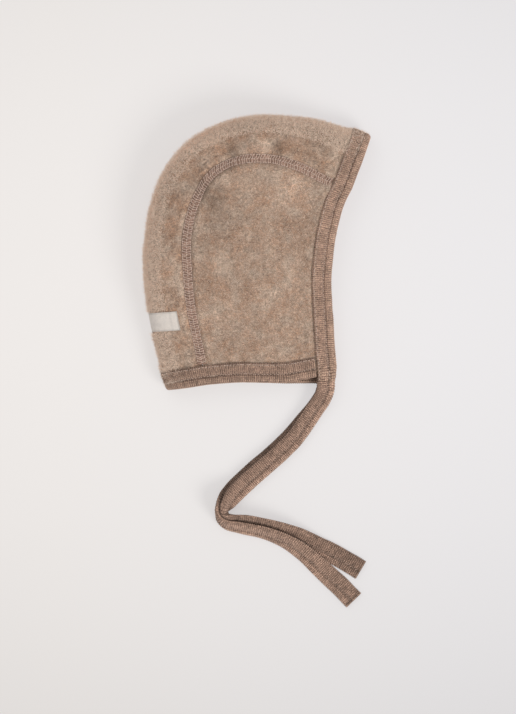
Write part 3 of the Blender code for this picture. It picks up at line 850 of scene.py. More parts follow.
def label_material():
    """Tight off-white ribbon, left plain, with a closer weave along both of its edges."""
    material, tree, shader = new_material("woven_ribbon", 0.75, 0.2, (0.95, 0.93, 0.9))
    along, across = cloth_place(tree)
    weave = times(tree, waves(tree, along, WARP_PITCH), waves(tree, across, WEFT_PITCH))
    woven = spread(tree, weave, -1.0, 1.0, 0.88, 1.06)
    selvedge = spread(tree, maths(tree, "ABSOLUTE", along), *SELVEDGE, 1.0, 0.86)
    uneven = swing(tree, noise_value(tree, object_place(tree), 420.0, 3.0, 0.6), 0.93, 1.05)
    # The painted value adds the painted shade in the label's sewn crease.
    coloured(tree, shader, RIBBON, times(tree, woven, uneven, selvedge, painted(tree, "painted_shading_and_tone")))
    bump(tree, shader, weave, 0.00006)
    return material


FLEECE_LOOK = fleece_material()
NAP_LOOK = nap_material()
# The second colour of each knit is a darker copy of the first, painted as shade in the valleys between its
# ribs.
RIB_LOOK = rib_material("rib_knit_tape", (0.440, 0.290, 0.214), (0.105, 0.056, 0.040), 0.36)
TIE_LOOK = rib_material("rib_knit_tie", (0.395, 0.256, 0.190), (0.100, 0.054, 0.040), 0.44)
SEAM_LOOK = rib_material("seam_tape", (0.330, 0.208, 0.155), (0.150, 0.086, 0.062), 0.2)
THREAD_LOOK = thread_material("pale_thread", (0.60, 0.455, 0.380))
TEETH_LOOK = thread_material("taupe_thread", (0.44, 0.310, 0.245))
LABEL_LOOK = label_material()


# Camera


camera = bpy.data.objects.new("camera", bpy.data.cameras.new("camera"))
bpy.context.scene.collection.objects.link(camera)
camera.location = (VIEW_X, VIEW_Y, CAMERA_HEIGHT)
camera.data.sensor_width = SENSOR
camera.data.lens = SENSOR * CAMERA_HEIGHT / (PIXEL * PHOTO_ROWS)
bpy.context.scene.camera = camera


# Threads


def tubes(name, paths, normals, radius, material, sides=5):
    """Threads along many paths that have the same number of points."""
    runs = unit(np.gradient(paths, axis=1))
    sideways = unit(np.cross(runs, normals))
    upward = np.cross(sideways, runs)
    turns = (np.arange(sides) / sides * math.tau)[:, None]
    rings = paths[:, :, None] + radius * np.cos(turns) * sideways[:, :, None]
    rings = rings + radius * np.sin(turns) * upward[:, :, None]
    rings[..., 2] = np.maximum(rings[..., 2], 0.0)
    count, length = paths.shape[:2]
    single = grid_faces(length, sides, wrapped=True)
    faces = (single[None] + (np.arange(count) * length * sides)[:, None, None]).reshape(-1, 4)
    piece = new_piece(name, rings, faces.tolist(), material)
    settle(piece)
    return piece


def laid_threads(grid, outward, index, column, rise, rng):
    """Paths of threads over points of a tape, unevenly drawn in, and the directions they face."""
    drawn_in = rng.uniform(*DRAWN_IN, (len(index), 1))
    height = np.array(rise)[None, :] + drawn_in
    return grid[index, column] + outward[index, column] * height[..., None], outward[index, column]


def stitch_row(grid, outward, column, share, pitch, rng):
    """Short stitches along one column of a tape."""
    starts = np.arange(2, len(grid) - pitch - 2, pitch)
    starts = starts + rng.integers(-1, 2, len(starts))
    index = starts[:, None] + np.linspace(0.0, share * pitch, 4).round().astype(int)[None]
    return laid_threads(grid, outward, index, column, STITCH_RISE, rng)


def teeth_row(grid, outward, columns, pitch, rng):
    """Threads that cross from one column of a tape to another, one beside each stitch."""
    starts = np.arange(2 + pitch // 2, len(grid) - pitch - 2, pitch)
    index = starts[:, None] + np.linspace(0.0, TEETH_RUN * pitch, 4).round().astype(int)[None]
    column = np.linspace(*columns, 4).round().astype(int)[None]
    return laid_threads(grid, outward, index, column, TEETH_RISE, rng)


def tape_stitches(name, grid, outward, lines, teeth, seed, look=THREAD_LOOK):
    """Rows of stitches along a tape and the threads that cross beside them."""
    pitch = round(STITCH_PITCH / ROW_STEP)
    rng = np.random.default_rng(seed)
    rows = [stitch_row(grid, outward, column, share, pitch, rng) for column, share in lines]
    stitches = tubes(name, *(np.concatenate(part) for part in zip(*rows)), THREAD, look)
    rows = [teeth_row(grid, outward, columns, pitch, rng) for columns in teeth]
    crossing = (np.concatenate(part) for part in zip(*rows))
    return [stitches, tubes(name + "_teeth", *crossing, TEETH_THREAD, TEETH_LOOK, sides=4)]


# Ties


def tie_rows(route):
    """Centres, normals, sideways directions and half widths along a tie, in steps that suit its ribs."""
    path = np.array(route, float)
    path[:, 3] = np.radians(path[:, 3]) * TIE_END_WIDTH
    rough = smooth_curve(path, FINE)
    rows = round(running_length(rough[:, :2])[-1] / RIB_PITCH) * RIB_STEPS
    shares = even_shares(rough[:, :2], rows)
    line = smooth_curve(path, shares)
    rolls = line[:, 3] / TIE_END_WIDTH
    half_widths = (TIE_START_WIDTH + (TIE_END_WIDTH - TIE_START_WIDTH) * ease(shares)) / 2
    half_thick = TIE_THICKNESS / 2
    rest = half_thick * np.abs(np.cos(rolls)) + half_widths * np.abs(np.sin(rolls))
    centres = np.column_stack((line[:, :2], rest + np.maximum(line[:, 2], 0.0)))
    runs = unit(np.gradient(centres, axis=0))
    sideways = unit(np.cross((0.0, 0.0, 1.0), runs))
    upward = np.cross(runs, sideways)
    normals = upward * np.cos(rolls)[:, None] + sideways * np.sin(rolls)[:, None]
    bunched = bell(np.linalg.norm(centres[:, :2] - TURN_SPOT, axis=1), TURN_REACH)
    return centres, normals, np.cross(runs, normals), half_widths, half_thick * (1.0 + TURN_SWELL * bunched)


def tie_outline(places, half_widths, half_thick):
    """Sideways and upward offsets of a tie's outline: places run 0 to 1 over its top and 1 to 2 under it."""
    top = places <= 1.0
    share = np.where(top, places, 2.0 - places)
    side = 0.72 * (1.0 - 2.0 * share) + 0.28 * np.cos(math.pi * share)
    rise = np.sqrt(np.clip(1.0 - np.abs(side) ** TIE_SQUARENESS, 0.0, 1.0))
    width = half_widths[:, None] * side[None]
    off_needle = width - (1.0 - 2.0 * NEEDLE_SHARE) * half_widths[:, None]
    off_edge = half_widths[:, None] - EDGE_LINE - width
    off_side = half_widths[:, None] - width
    groove = NEEDLE_DEPTH * bell(off_needle, NEEDLE_WIDTH)
    edge_line = TIE_EDGE_DEPTH * bell(off_edge, NEEDLE_WIDTH)
    height = (half_thick[:, None] - groove - edge_line) * rise[None] * np.where(top, 1.0, -1.0)
    # Painted shade in the needle groove, on the edge line and at the sides, and painted light on the outer
    # lane.
    shade = 1.0 - TIE_NEEDLE_SHADE * bell(off_needle, NEEDLE_WIDTH)
    shade = shade - SIDE_SHADE * bell(off_edge, 0.8 * NEEDLE_WIDTH)
    shade = shade + OUTER_LANE_LIGHT * ease(-off_needle / LANE_FADE)
    return width, height, shade - SIDE_SHADE * bell(off_side, TIE_SIDE_FADE)


def rib_relief(count):
    """Height of the ribs at each row of a tape, 0 in the valleys and 1 on the ridges."""
    phase = (np.arange(count) % RIB_STEPS) / RIB_STEPS
    return np.sin(math.pi * phase) ** 0.7


def knit_relief(grid, shade, lumps, seed):
    """Height of the ribs, lower in the tape's grooves, and of its small lumps of given size and height."""
    ribs = (rib_relief(len(grid))[:, None] - RIB_LEVEL) * RIB_DEPTH
    size, height = lumps
    return ribs * (RIB_LEAST + (1.0 - RIB_LEAST) * shade) + value_noise(grid, size, seed) * height


def tie_piece(name, node, route, seed, tones):
    """Flat knitted tie that follows its route; tones are before and after its turn."""
    centres, normals, across, half_widths, half_thick = tie_rows(route)
    width, height, shade = tie_outline(TIE_PLACES, half_widths, half_thick)
    grid = centres[:, None] + across[:, None] * width[..., None] + normals[:, None] * height[..., None]
    outward = grid_normals(grid, wrapped=True)
    outward *= np.sign(np.sum(outward[0, TIE_HALF // 2] * normals[0]))
    grid = grid + outward * knit_relief(grid, shade, TIE_LUMPS, seed)[..., None]
    grid[..., 2] = np.maximum(grid[..., 2], 0.0)
    # Painted shade in the hem's crease and darker towards the end, and painted shade along the tie before
    # and after its turn.
    from_end = np.linalg.norm(centres - centres[-1], axis=1)
    hem = 1.0 - HEM_SHADE * bell(from_end - HEM, HEM_CREASE) - END_SHADE * bell(from_end, END_REACH)
    start = START_LIGHT * bell(np.linalg.norm(centres - centres[0], axis=1), START_REACH)
    uneven = 1.0 + PATCH_SHADE * value_noise(centres, TIE_PATCH, seed + 5)
    turned = ease((running_length(centres) - TURN_RUN) / TURN_FADE)
    tone = tones[0] + (tones[1] - tones[0]) * turned
    shade = shade * ((hem + start) * uneven * tone)[:, None]
    runs = cloth_runs(len(grid), width / LOOP_PITCH)
    piece = new_piece(name, grid, tube_faces(*grid.shape[:2]), TIE_LOOK, runs, shade)
    stitches = tape_stitches(name + "_stitches", grid, outward, TIE_LINES, TIE_TEETH, seed + 2, TEETH_LOOK)
    settle(piece, node)
    return grid


left_grid = tie_piece("left_tie", "tie_left", LEFT_ROUTE, 11, LEFT_TIE_SHADING)
right_grid = tie_piece("right_tie", "tie_right", RIGHT_ROUTE, 12, RIGHT_TIE_SHADING)


# Fleece panels


CORNER_SHARE = float(FINE[np.argmin(np.linalg.norm(SEAM_LINE - SECTION_PLAN[CORNER_SECTION, 2:], axis=1))])
CROWN_SHARES = CORNER_SHARE * even_shares(SEAM_LINE[FINE <= CORNER_SHARE], CROWN_ROWS)
BACK_SHARES = CORNER_SHARE + (1.0 - CORNER_SHARE) * even_shares(SEAM_LINE[FINE >= CORNER_SHARE], BACK_ROWS)
STRIP_SHARES = np.concatenate((CROWN_SHARES, BACK_SHARES[1:]))


def from_seam(edge, start):
    """The edge with its first stretch drawn in, so that it begins at the given point."""
    near_start = 1.0 - ease(running_length(edge) / TURN_IN)
    return edge + (start - edge[0]) * near_start[:, None]


def side_plan(upper):
    """Plan of a side panel, a patch between the crown seam, back seam, neck edge and face edge."""
    fold, seam, _, _ = section_at(STRIP_SHARES)
    seam = seam + unit(seam - fold) * SEAM_GAP / 2
    crown = seam[: CROWN_ROWS + 1][::-1]
    back = seam[CROWN_ROWS:]
    face = from_seam(resampled(FACE_LINE if upper else LOWER_FACE_LINE, BACK_ROWS), crown[-1])
    neck = from_seam(resampled(NECK_LINE if upper else LOWER_NECK_LINE, CROWN_ROWS), back[-1])
    u = np.linspace(0.0, 1.0, CROWN_ROWS + 1)[:, None, None]
    v = np.linspace(0.0, 1.0, BACK_ROWS + 1)[None, :, None]
    corners = (1 - u) * (1 - v) * crown[0] + u * (1 - v) * crown[-1]
    corners = corners + (1 - u) * v * back[-1] + u * v * face[-1]
    return (1 - v) * crown[:, None] + v * neck[:, None] + (1 - u) * back[None] + u * face[None] - corners


def nap_lumps(points, seed):
    """Relief of brushed cloth at three sizes."""
    return sum(height * value_noise(points, size, seed + i) for i, (height, size) in enumerate(FLEECE_LUMPS))


def brushed(x, y):
    """Painted light and shade of the nap, with some tone: painted shade in the dents, darker or paler spots,
    mostly painted shade and light, and painted light towards the fold and its rim.
    """
    tone = 1.0 + DENT_SHADE * dents(x, y)
    for shade_and_tone_spot in SHADE_AND_TONE_SPOTS:
        tone = tone + shade_and_tone_spot.light * bell(np.hypot(x - shade_and_tone_spot.x, y - shade_and_tone_spot.y), shade_and_tone_spot.reach)
    nearest = line_distance(smooth_curve(SECTION_PLAN[:, :2], np.linspace(0.0, 1.0, 60)), x, y)
    strength = RIM_LEAST + (1.0 - RIM_LEAST) * ease((y - RIM_START) / RIM_RISE)
    return tone + FOLD_LIGHT * bell(nearest, FOLD_FADE) + RIM_LIGHT * bell(nearest, RIM_FADE) * strength


def puffed(distance, height, reach, depth):
    """Swell of the fleece at a distance from what is sewn down on it, and the shade in the crease."""
    swell = height * bell(distance - reach, reach) * ease(distance / CREASE_RISE)
    return swell, 1.0 - depth * bell(distance, CREASE_FADE)


def beside_seam(x, y):
    """Swell of the fleece on both sides of the sewn-down seam, and the shade in its crease."""
    return puffed(seam_distance(x, y) - SEAM_WIDTH / 2, SEAM_PUFF, SEAM_PUFF_REACH, SEAM_CREASE_SHADE)


def beside_binding(x, y, upper):
    """Swell of the fleece along the inner edges of the tapes, and the shade in their creases."""
    face_line = FACE_LINE if upper else LOWER_FACE_LINE
    neck_line = NECK_LINE if upper else LOWER_NECK_LINE
    face_distance = face_x(y, face_line) - x - BINDING_COVER
    neck_distance = y - neck_y(x, neck_line) - BINDING_COVER
    distance = np.minimum(face_distance, neck_distance)
    return puffed(distance, TAPE_PUFF, TAPE_PUFF_REACH, TAPE_CREASE_SHADE)


def side_panel(name, node, upper, seed):
    """Side panel of thick fleece; returns its outer grid, normals and painted shading and tone for the nap.
    """
    grid = layer_points(side_plan(upper), upper)
    normals = grid_normals(grid)
    normals *= np.sign(normals[..., 2:])
    x, y = grid[..., 0], grid[..., 1]
    outward = FLEECE / 2 + nap_lumps(grid, seed) * ease(seam_distance(x, y) / SEAM_WIDTH)
    painted_shading_and_tone = np.ones_like(x)
    if upper:
        seam_swell, seam_shade = beside_seam(x, y)
        tape_swell, tape_shade = beside_binding(x, y, upper)
        outward = outward + seam_swell + tape_swell
        # Painted shade in the creases beside the seam and the tapes, times the nap's painted shading and
        # tone.
        painted_shading_and_tone = seam_shade * tape_shade * brushed(x, y)
    top = grid + normals * outward[..., None]
    bottom = grid - normals * (FLEECE / 2)
    bottom[..., 2] = np.maximum(bottom[..., 2], 0.0)
    wall(name, top, bottom, FLEECE_LOOK, painted_shading_and_tone, node)
    return top, normals, painted_shading_and_tone


def centre_panel():
    """Strip from forehead to nape, folded along its middle; returns its outer grid, normals and painted
    shading and tone.
    """
    angles = np.linspace(90.0, -90.0, STRIP_COLUMNS + 1)
    grid = strip_points(STRIP_SHARES, angles)
    normals = grid_normals(grid)
    normals *= np.sign(normals[0, 0, 2])
    x, y = grid[..., 0], grid[..., 1]
    upper = np.clip(np.sin(np.radians(angles)) * 3.0 + 1.0, 0.0, 1.0)[None]
    seam_swell, seam_shade = beside_seam(x, y)
    relief = nap_lumps(grid, 30) * ease(seam_distance(x, y) / SEAM_WIDTH) * (0.25 + 0.75 * upper)
    outer = grid + normals * (FLEECE / 2 + relief + seam_swell * upper)[..., None]
    outer[..., 2] = np.maximum(outer[..., 2], FOLD_REST)
    inner = grid - normals * (FLEECE / 2)
    # Painted shade in the crease beside the seam on the upper side, times the nap's painted shading and
    # tone.
    painted_shading_and_tone = (1.0 - (1.0 - seam_shade) * upper) * brushed(x, y)
    wall("crown_strip", outer, inner, FLEECE_LOOK, painted_shading_and_tone, "centre_panel")
    return outer, normals, painted_shading_and_tone


left_surface = side_panel("left_side", "side_panel_left", True, 20)
right_surface = side_panel("right_side", "side_panel_right", False, 25)
strip_surface = centre_panel()


# Seams


def seam_frame():
    """Shares along the seam between the tapes, its points in plan and its inward directions."""
    lengths = running_length(SEAM_LINE)
    margin = BINDING_COVER + 2 * GAP
    places = np.arange(margin, lengths[-1] - margin, ROW_STEP)
    shares = np.interp(places, lengths, FINE)
    fold, seam, _, _ = section_at(shares)
    return shares, seam, unit(seam - fold)


def seam_surface(shares, seam, inward, offset, upper):
    """Cloth points at a sideways offset from the seam, positive towards the side panel."""
    plan = seam + inward * offset
    points = layer_points(plan, upper)
    if offset >= 0:
        return points
    fold, line, high, low = section_at(shares)
    inset = np.clip(-offset / np.linalg.norm(line - fold, axis=1), 0.0, 1.0)
    roundness = UPPER_ROUNDNESS if upper else LOWER_ROUNDNESS
    cosine = inset ** (roundness / 2)
    swell = np.sqrt(1.0 - cosine**2) ** (2.0 / roundness)
    middle = low + FOLD_SHARE * (high - low)
    points[:, 2] = middle + ((high if upper else low) - middle) * swell
    if upper:
        points[:, 2] += dents(plan[:, 0], plan[:, 1])
    return points


def seam_band(name, node, upper):
    """Flat seam's knitted band; returns its outer grid and normals."""
    shares, seam, inward = seam_frame()
    offsets = np.linspace(-SEAM_WIDTH / 2, SEAM_WIDTH / 2, BAND_COLUMNS)
    grid = np.stack([seam_surface(shares, seam, inward, offset, upper) for offset in offsets], axis=1)
    normals = grid_normals(grid)
    normals *= np.sign(normals[..., 2:]) * (1.0 if upper else -1.0)
    across = offsets / (SEAM_WIDTH / 2)
    ribs = rib_relief(len(grid))[:, None] * BAND_RIB
    crown = BAND_CROWN * (1.0 - across**4)[None]
    lift = FLEECE / 2 + GAP + crown + ribs * (1.0 - across**6)[None]
    top = grid + normals * lift[..., None]
    top[..., 2] = np.maximum(top[..., 2], 0.0)
    bottom = grid + normals * (FLEECE / 2 + GAP / 2)
    # Painted shade towards the band's edges, times the nap's painted shading and tone, made stronger.
    shade = (1.0 - BAND_SHADE * np.abs(across) ** 6) * brushed(top[..., 0], top[..., 1]) ** 1.5
    runs = cloth_runs(len(top), (offsets / LOOP_PITCH)[None])
    wall(name, top, bottom, SEAM_LOOK, shade, node, runs)
    return top, normals


def seam_threads(name, top, normals):
    """Loops in three rows and the threads that cross between them, laid on the band."""
    pitch = round(BAND_STITCH / ROW_STEP)
    last = len(top) - 1
    starts = np.arange(2, last - pitch - 1, pitch)
    rng = np.random.default_rng(70)
    spots, lifts = [], []
    for column, stagger in ((1, 0), (6, pitch // 2), (11, 0)):
        for start in starts + rng.integers(-1, 2, len(starts)):
            index = start + stagger + np.linspace(0.0, LOOP_RUN * pitch, 4).round().astype(int)
            spots.append((np.clip(index, 0, last), np.full(4, column)))
            lifts.append(np.array(LOOP_RISE) + rng.uniform(*LOOP_DRAWN_IN))
    band_threads(name + "_loops", top, normals, spots, lifts, LOOP_THREAD)
    spots, lifts = [], []
    for first, final, lead, trail in ((1, 6, 0.3, 0.7), (6, 11, 0.7, 0.3)):
        for start in starts + rng.integers(-1, 2, len(starts)):
            index = start + np.linspace(lead * pitch, trail * pitch, 6).round().astype(int)
            spots.append((np.clip(index, 0, last), np.linspace(first, final, 6).round().astype(int)))
            lifts.append(np.full(6, rng.uniform(*LOOPER_RISE)))
    band_threads(name + "_looper", top, normals, spots, lifts, LOOPER_THREAD, sides=4)


def band_threads(name, top, normals, spots, lifts, radius, sides=5):
    """Threads over given rows and columns of the band, each lifted off it by its own heights."""
    rows, columns = np.array(spots).transpose(1, 0, 2)
    facing = normals[rows, columns]
    paths = top[rows, columns] + facing * np.array(lifts)[..., None]
    tubes(name, paths, facing, radius, THREAD_LOOK, sides)


seam_threads("left_seam", *seam_band("left_seam", "crown_seam_left", True))
seam_band("right_seam", "crown_seam_right", False)


# Bindings


def plan_inward(edge):
    """Unit normals of an edge in plan, on the side that faces into the bonnet."""
    run = unit(np.gradient(edge, axis=0))
    return np.column_stack((run[:, 1], -run[:, 0]))


def with_tail(edge, length):
    """The face edge carried on past the jaw in a slight turn, where its tape becomes the tie."""
    run = edge[-1] - edge[-2]
    heading = math.atan2(run[1], run[0])
    pieces = 12
    angles = heading - TAIL_TURN * (np.arange(pieces) + 0.5) / pieces
    steps = np.column_stack((np.cos(angles), np.sin(angles))) * length / pieces
    return np.vstack((edge, edge[-1] + np.cumsum(steps, axis=0)))


TOP_WIDTHS = np.linspace(0.0, BINDING_COVER + GAP, TOP_COLUMNS)
RAY_DISTANCES = BINDING_COVER - TOP_WIDTHS[::-1]
NEEDLE_COLUMN = int(np.argmin(np.abs(TOP_WIDTHS - NEEDLE_SHARE * BINDING_WIDTH)))
EDGE_COLUMN = int(np.argmin(np.abs(TOP_WIDTHS - EDGE_LINE)))
TAPE_LINES = ((EDGE_COLUMN, 0.62), (NEEDLE_COLUMN, 0.5))
TAPE_TEETH = ((NEEDLE_COLUMN, NEEDLE_COLUMN - 4), (EDGE_COLUMN, EDGE_COLUMN + 3))


def strip_rays(end):
    """Points inward from the strip's forehead (end 0) or nape (end 1) edge, a row per angle."""
    depth = np.linspace(0.0, 3 * BINDING_WIDTH / running_length(SEAM_LINE)[-1], 90)
    shares = depth if end == 0 else 1.0 - depth
    grid = strip_points(shares, np.linspace(90.0, -90.0, 121))
    before = RAY_DISTANCES < 0
    rays = []
    for column in range(grid.shape[1]):
        line = grid[:, column]
        lengths = running_length(line)
        ray = np.array([np.interp(RAY_DISTANCES, lengths, line[:, i]) for i in range(3)]).T
        outward = unit(line[0] - line[1])
        ray[before] = line[0] - outward * RAY_DISTANCES[before][:, None]
        rays.append(ray)
    return np.array(rays)


def edge_rays(edge, inward, upper):
    """Points inward from a side layer's edge, a row per edge point."""
    plan = edge[:, None, :] + inward[:, None, :] * RAY_DISTANCES[None, :, None]
    return layer_points(plan, upper)


def tape_lanes(widths):
    """Thickness of the tape over the cloth across its width, painted shade in its needle lines and edges,
    painted light on its outer lane.
    """
    needle = NEEDLE_SHARE * BINDING_WIDTH
    off_needle = widths - needle
    off_edge = widths - EDGE_LINE
    inward = np.clip(off_edge / (needle - EDGE_LINE), 0.0, 1.0)
    outward = np.clip(off_needle / (LANE_END * (BINDING_WIDTH - needle)), 0.0, 1.0)
    lanes = INNER_LANE * np.sin(math.pi * inward) ** 0.6 + OUTER_LANE * np.sin(math.pi * outward) ** 0.7
    hem = HEM_LANE * bell(widths - EDGE_LINE / 2, 0.0006)
    grooves = TAPE_NEEDLE_DEPTH * bell(off_needle, TAPE_NEEDLE_WIDTH)
    grooves = grooves + TAPE_EDGE_DEPTH * bell(off_edge, TAPE_EDGE_WIDTH)
    rounded = 0.45 + 0.55 * ease(widths / 0.0007)
    shade = 1.0 - TAPE_NEEDLE_SHADE * bell(off_needle, 0.00065)
    shade = shade - TAPE_EDGE_SHADE * bell(off_edge, TAPE_EDGE_WIDTH)
    shade = shade + OUTER_LANE_LIGHT * ease(off_needle / LANE_FADE)
    shade = shade - SIDE_SHADE * bell(widths, TAPE_EDGE_WIDTH)
    return (GAP + RIB) * rounded, lanes + hem - grooves, shade


def folded_tape(rays):
    """Closed grid of a ribbed tape folded round an edge, with its shade and its place across."""
    normals = grid_normals(rays)
    normals = normals * np.sign(normals[0, -1, 2])
    flat, raised, shade = tape_lanes(TOP_WIDTHS)
    along = running_length(rays[:, 0])
    creased = int(np.argmax(np.hypot(rays[:, 0, 0], rays[:, 0, 1])))
    drawn_flat = 1.0 - FOLD_FLATTENING * bell(along - along[creased], FOLD_REACH)
    thick = FLEECE / 2 + flat[None] + raised[None] * drawn_flat[:, None]
    top = rays[:, ::-1] + normals[:, ::-1] * thick[..., None]
    outward = unit(rays[:, 0] - rays[:, 1])
    bend = [
        rays[:, 0] + thick[:, -1:] * (math.cos(angle) * normals[:, 0] + math.sin(angle) * outward)
        for angle in np.linspace(0.0, math.pi, BEND_COLUMNS + 2)[1:-1]
    ]
    chosen = np.linspace(0, TOP_COLUMNS - 1, UNDER_COLUMNS).round().astype(int)
    under = rays[:, chosen] - normals[:, chosen] * (FLEECE / 2 + GAP + RIB)
    lining = np.linspace(TOP_COLUMNS - 1, TOP_COLUMNS - 4, INSIDE_COLUMNS).round().astype(int)
    inside = rays[:, lining]
    grid = np.concatenate((top, np.stack(bend, axis=1), under, inside), axis=1)
    widths = np.concatenate((
        TOP_WIDTHS,
        BINDING_WIDTH + np.linspace(0.0, 0.002, BEND_COLUMNS),
        BINDING_WIDTH + 0.003 + np.linspace(0.0, BINDING_WIDTH, UNDER_COLUMNS),
        np.full(INSIDE_COLUMNS, 2 * BINDING_WIDTH),
    ))
    # Painted light on the bend and the underside, as on the outer lane, and painted shade inside the fold.
    plain = np.ones(BEND_COLUMNS + UNDER_COLUMNS) + OUTER_LANE_LIGHT
    shades = np.concatenate((shade, plain, np.full(INSIDE_COLUMNS, INSIDE_SHADE)))
    lengths = running_length(grid[:, TOP_COLUMNS // 2])
    count = int(lengths[-1] / ROW_STEP)
    places = np.arange(count) * RIB_PITCH / RIB_STEPS
    flat = grid.reshape(len(grid), -1)
    grid = np.stack([np.interp(places, lengths, flat[:, i]) for i in range(flat.shape[1])], axis=1)
    return grid.reshape(count, -1, 3), widths, shades


def ribbed(grid, shades, seed):
    """The closed tape grid with its ribs and small unevenness raised from it, and its outward directions."""
    outward = grid_normals(grid, wrapped=True)
    middle = grid.mean(axis=1)
    outward *= np.sign(np.sum((grid[:, TOP_COLUMNS + 2] - middle) * outward[:, TOP_COLUMNS + 2]))
    grid = grid + outward * knit_relief(grid, np.clip(shades, 0, 1)[None], TAPE_LUMPS, seed)[..., None]
    grid[..., 2] = np.maximum(grid[..., 2], 0.0)
    return grid, outward


def tape_piece(name, node, grid, widths, shades, seed, tone=None):
    """Mesh of a closed tape grid with its ends filled, the painted shade in its grooves uneven along it."""
    middle = grid[:, NEEDLE_COLUMN]
    strength = 0.85 + 0.5 * value_noise(middle, 0.0035, seed) + 0.3 * value_noise(middle, 0.0120, seed + 1)
    painted_shading_and_tone = 1.0 + (shades[None] - 1.0) * strength[:, None]
    painted_shading_and_tone = painted_shading_and_tone * (1.0 + PATCH_SHADE * value_noise(middle, 0.0150, seed + 2))[:, None]
    # Painted shade along the tape, where it is given.
    if tone is not None:
        painted_shading_and_tone = painted_shading_and_tone * tone[:, None]
    runs = cloth_runs(len(grid), (widths / LOOP_PITCH)[None])
    piece = new_piece(name, grid, tube_faces(*grid.shape[:2]), RIB_LOOK, runs, painted_shading_and_tone)
    settle(piece, node)


def into_tie(grid, tie, flipped):
    """The tape's last rows, closing round the start of its tie."""
    places = np.concatenate((
        np.linspace(0.0, 0.93, TOP_COLUMNS),
        np.linspace(0.95, 1.05, BEND_COLUMNS),
        np.linspace(1.08, 1.93, UNDER_COLUMNS),
        np.linspace(1.95, 1.99, INSIDE_COLUMNS),
    ))
    if flipped:
        places = (2.0 - places) % 2.0
    around = np.vstack((tie[0], tie[0, :1]))
    native = np.arange(len(around)) / TIE_HALF
    target = np.stack([np.interp(places, native, around[:, i]) for i in range(3)], axis=1)
    lengths = running_length(grid[:, TOP_COLUMNS // 2])
    share = ease((lengths - lengths[-1] + INTO_TIE) / INTO_TIE)
    end_shift = target - grid[-1]
    return grid + share[:, None, None] * end_shift[None]


def from_seam_run(edge, inward):
    """Inward directions that turn into the run of the crown seam where the edge meets it."""
    near_seam = (1.0 - ease(running_length(edge) / INTO_SEAM))[:, None]
    seam_run = unit(SEAM_LINE[SEAM_RUN] - SEAM_LINE[0])
    return unit(inward * (1.0 - near_seam) + seam_run * near_seam)


def face_binding():
    """Tape along the face edge: up the top layer, round the forehead fold and down the lower layer."""
    upper_edge = with_tail(resampled(FACE_LINE, EDGE_POINTS), UPPER_TAIL)
    lower_edge = with_tail(resampled(LOWER_FACE_LINE, EDGE_POINTS), LOWER_TAIL)
    upper = edge_rays(upper_edge, from_seam_run(upper_edge, plan_inward(upper_edge)), True)
    lower = edge_rays(lower_edge, from_seam_run(lower_edge, plan_inward(lower_edge)), False)
    rays = np.concatenate((upper[:0:-1], strip_rays(0), lower[1:]))
    grid, widths, shades = folded_tape(rays)
    grid = into_tie(grid[::-1], left_grid, False)[::-1]
    grid = into_tie(grid, right_grid, True)
    grid, outward = ribbed(grid, shades, 40)
    tape_piece("face_tape", "face_binding", grid, widths, shades, 42)
    tape_stitches("face_tape_stitches", grid, outward, TAPE_LINES, TAPE_TEETH, 41)


def neck_rays(face_line, neck_line, upper):
    """Rays along the neck edge from the face binding to the back seam."""
    margin = 2 * GAP if upper else -TUCK
    clear = face_x(neck_line[:, 1], face_line) - neck_line[:, 0] > BINDING_COVER + margin
    edge = resampled(neck_line[clear][::-1], NECK_POINTS)
    inward = plan_inward(edge)
    lengths = running_length(edge)
    beside_face = unit(face_line[-1 - FACE_RUN] - face_line[-1])
    beside_seam_run = unit(SEAM_LINE[-1 - SEAM_RUN] - SEAM_LINE[-1])
    near_face = 1.0 - ease(lengths / TURN_IN)
    near_seam = 1.0 - ease((lengths[-1] - lengths) / TURN_IN)
    blend = 1.0 - near_face - near_seam
    inward = unit(
        inward * blend[:, None] + beside_face * near_face[:, None] + beside_seam_run * near_seam[:, None]
    )
    return edge_rays(edge, inward, upper)


def neck_binding():
    """Tape along the neck edge: back along the top layer, round the nape fold and forward below."""
    upper = neck_rays(FACE_LINE, NECK_LINE, True)
    lower = neck_rays(LOWER_FACE_LINE, LOWER_NECK_LINE, False)
    rays = np.concatenate((upper[:-1], strip_rays(1), lower[-2::-1]))
    grid, widths, shades = folded_tape(rays)
    grid, outward = ribbed(grid, shades, 50)
    lengths = running_length(grid[:, NEEDLE_COLUMN])
    # Painted shade: darker all along, and darker still near the jaw in the upper tape's shadow.
    tone = NECK_SHADE * (1.0 - JAW_SHADE * bell(lengths[-1] - lengths, JAW_REACH))
    tape_piece("neck_tape", "neck_binding", grid, widths, shades, 52, tone)
    tape_stitches("neck_tape_stitches", grid, outward, TAPE_LINES, TAPE_TEETH, 51)


face_binding()
neck_binding()


# Label


FOLD_LINE = smooth_curve(SECTION_PLAN, FINE)[:, :2]
OFF_LEVEL = np.abs(FOLD_LINE[:, 1] - (LABEL_SHARE - 0.5) * BODY_HEIGHT)
LABEL_PLACE = int(np.argmin(OFF_LEVEL + BODY_HEIGHT * (FOLD_LINE[:, 0] > 0)))
LABEL_SPOT = FOLD_LINE[LABEL_PLACE]


def under_label(spots, facing):
    """Whether points of the fleece lie under the label; facing is 1 on the upper side and -1 below."""
    east = spots[:, 0] - LABEL_SPOT[0]
    north = spots[:, 1] - LABEL_SPOT[1] - LABEL_SKEW * east * facing
    return (east < LABEL_REACH) & (np.abs(north) < LABEL_WIDTH / 2)


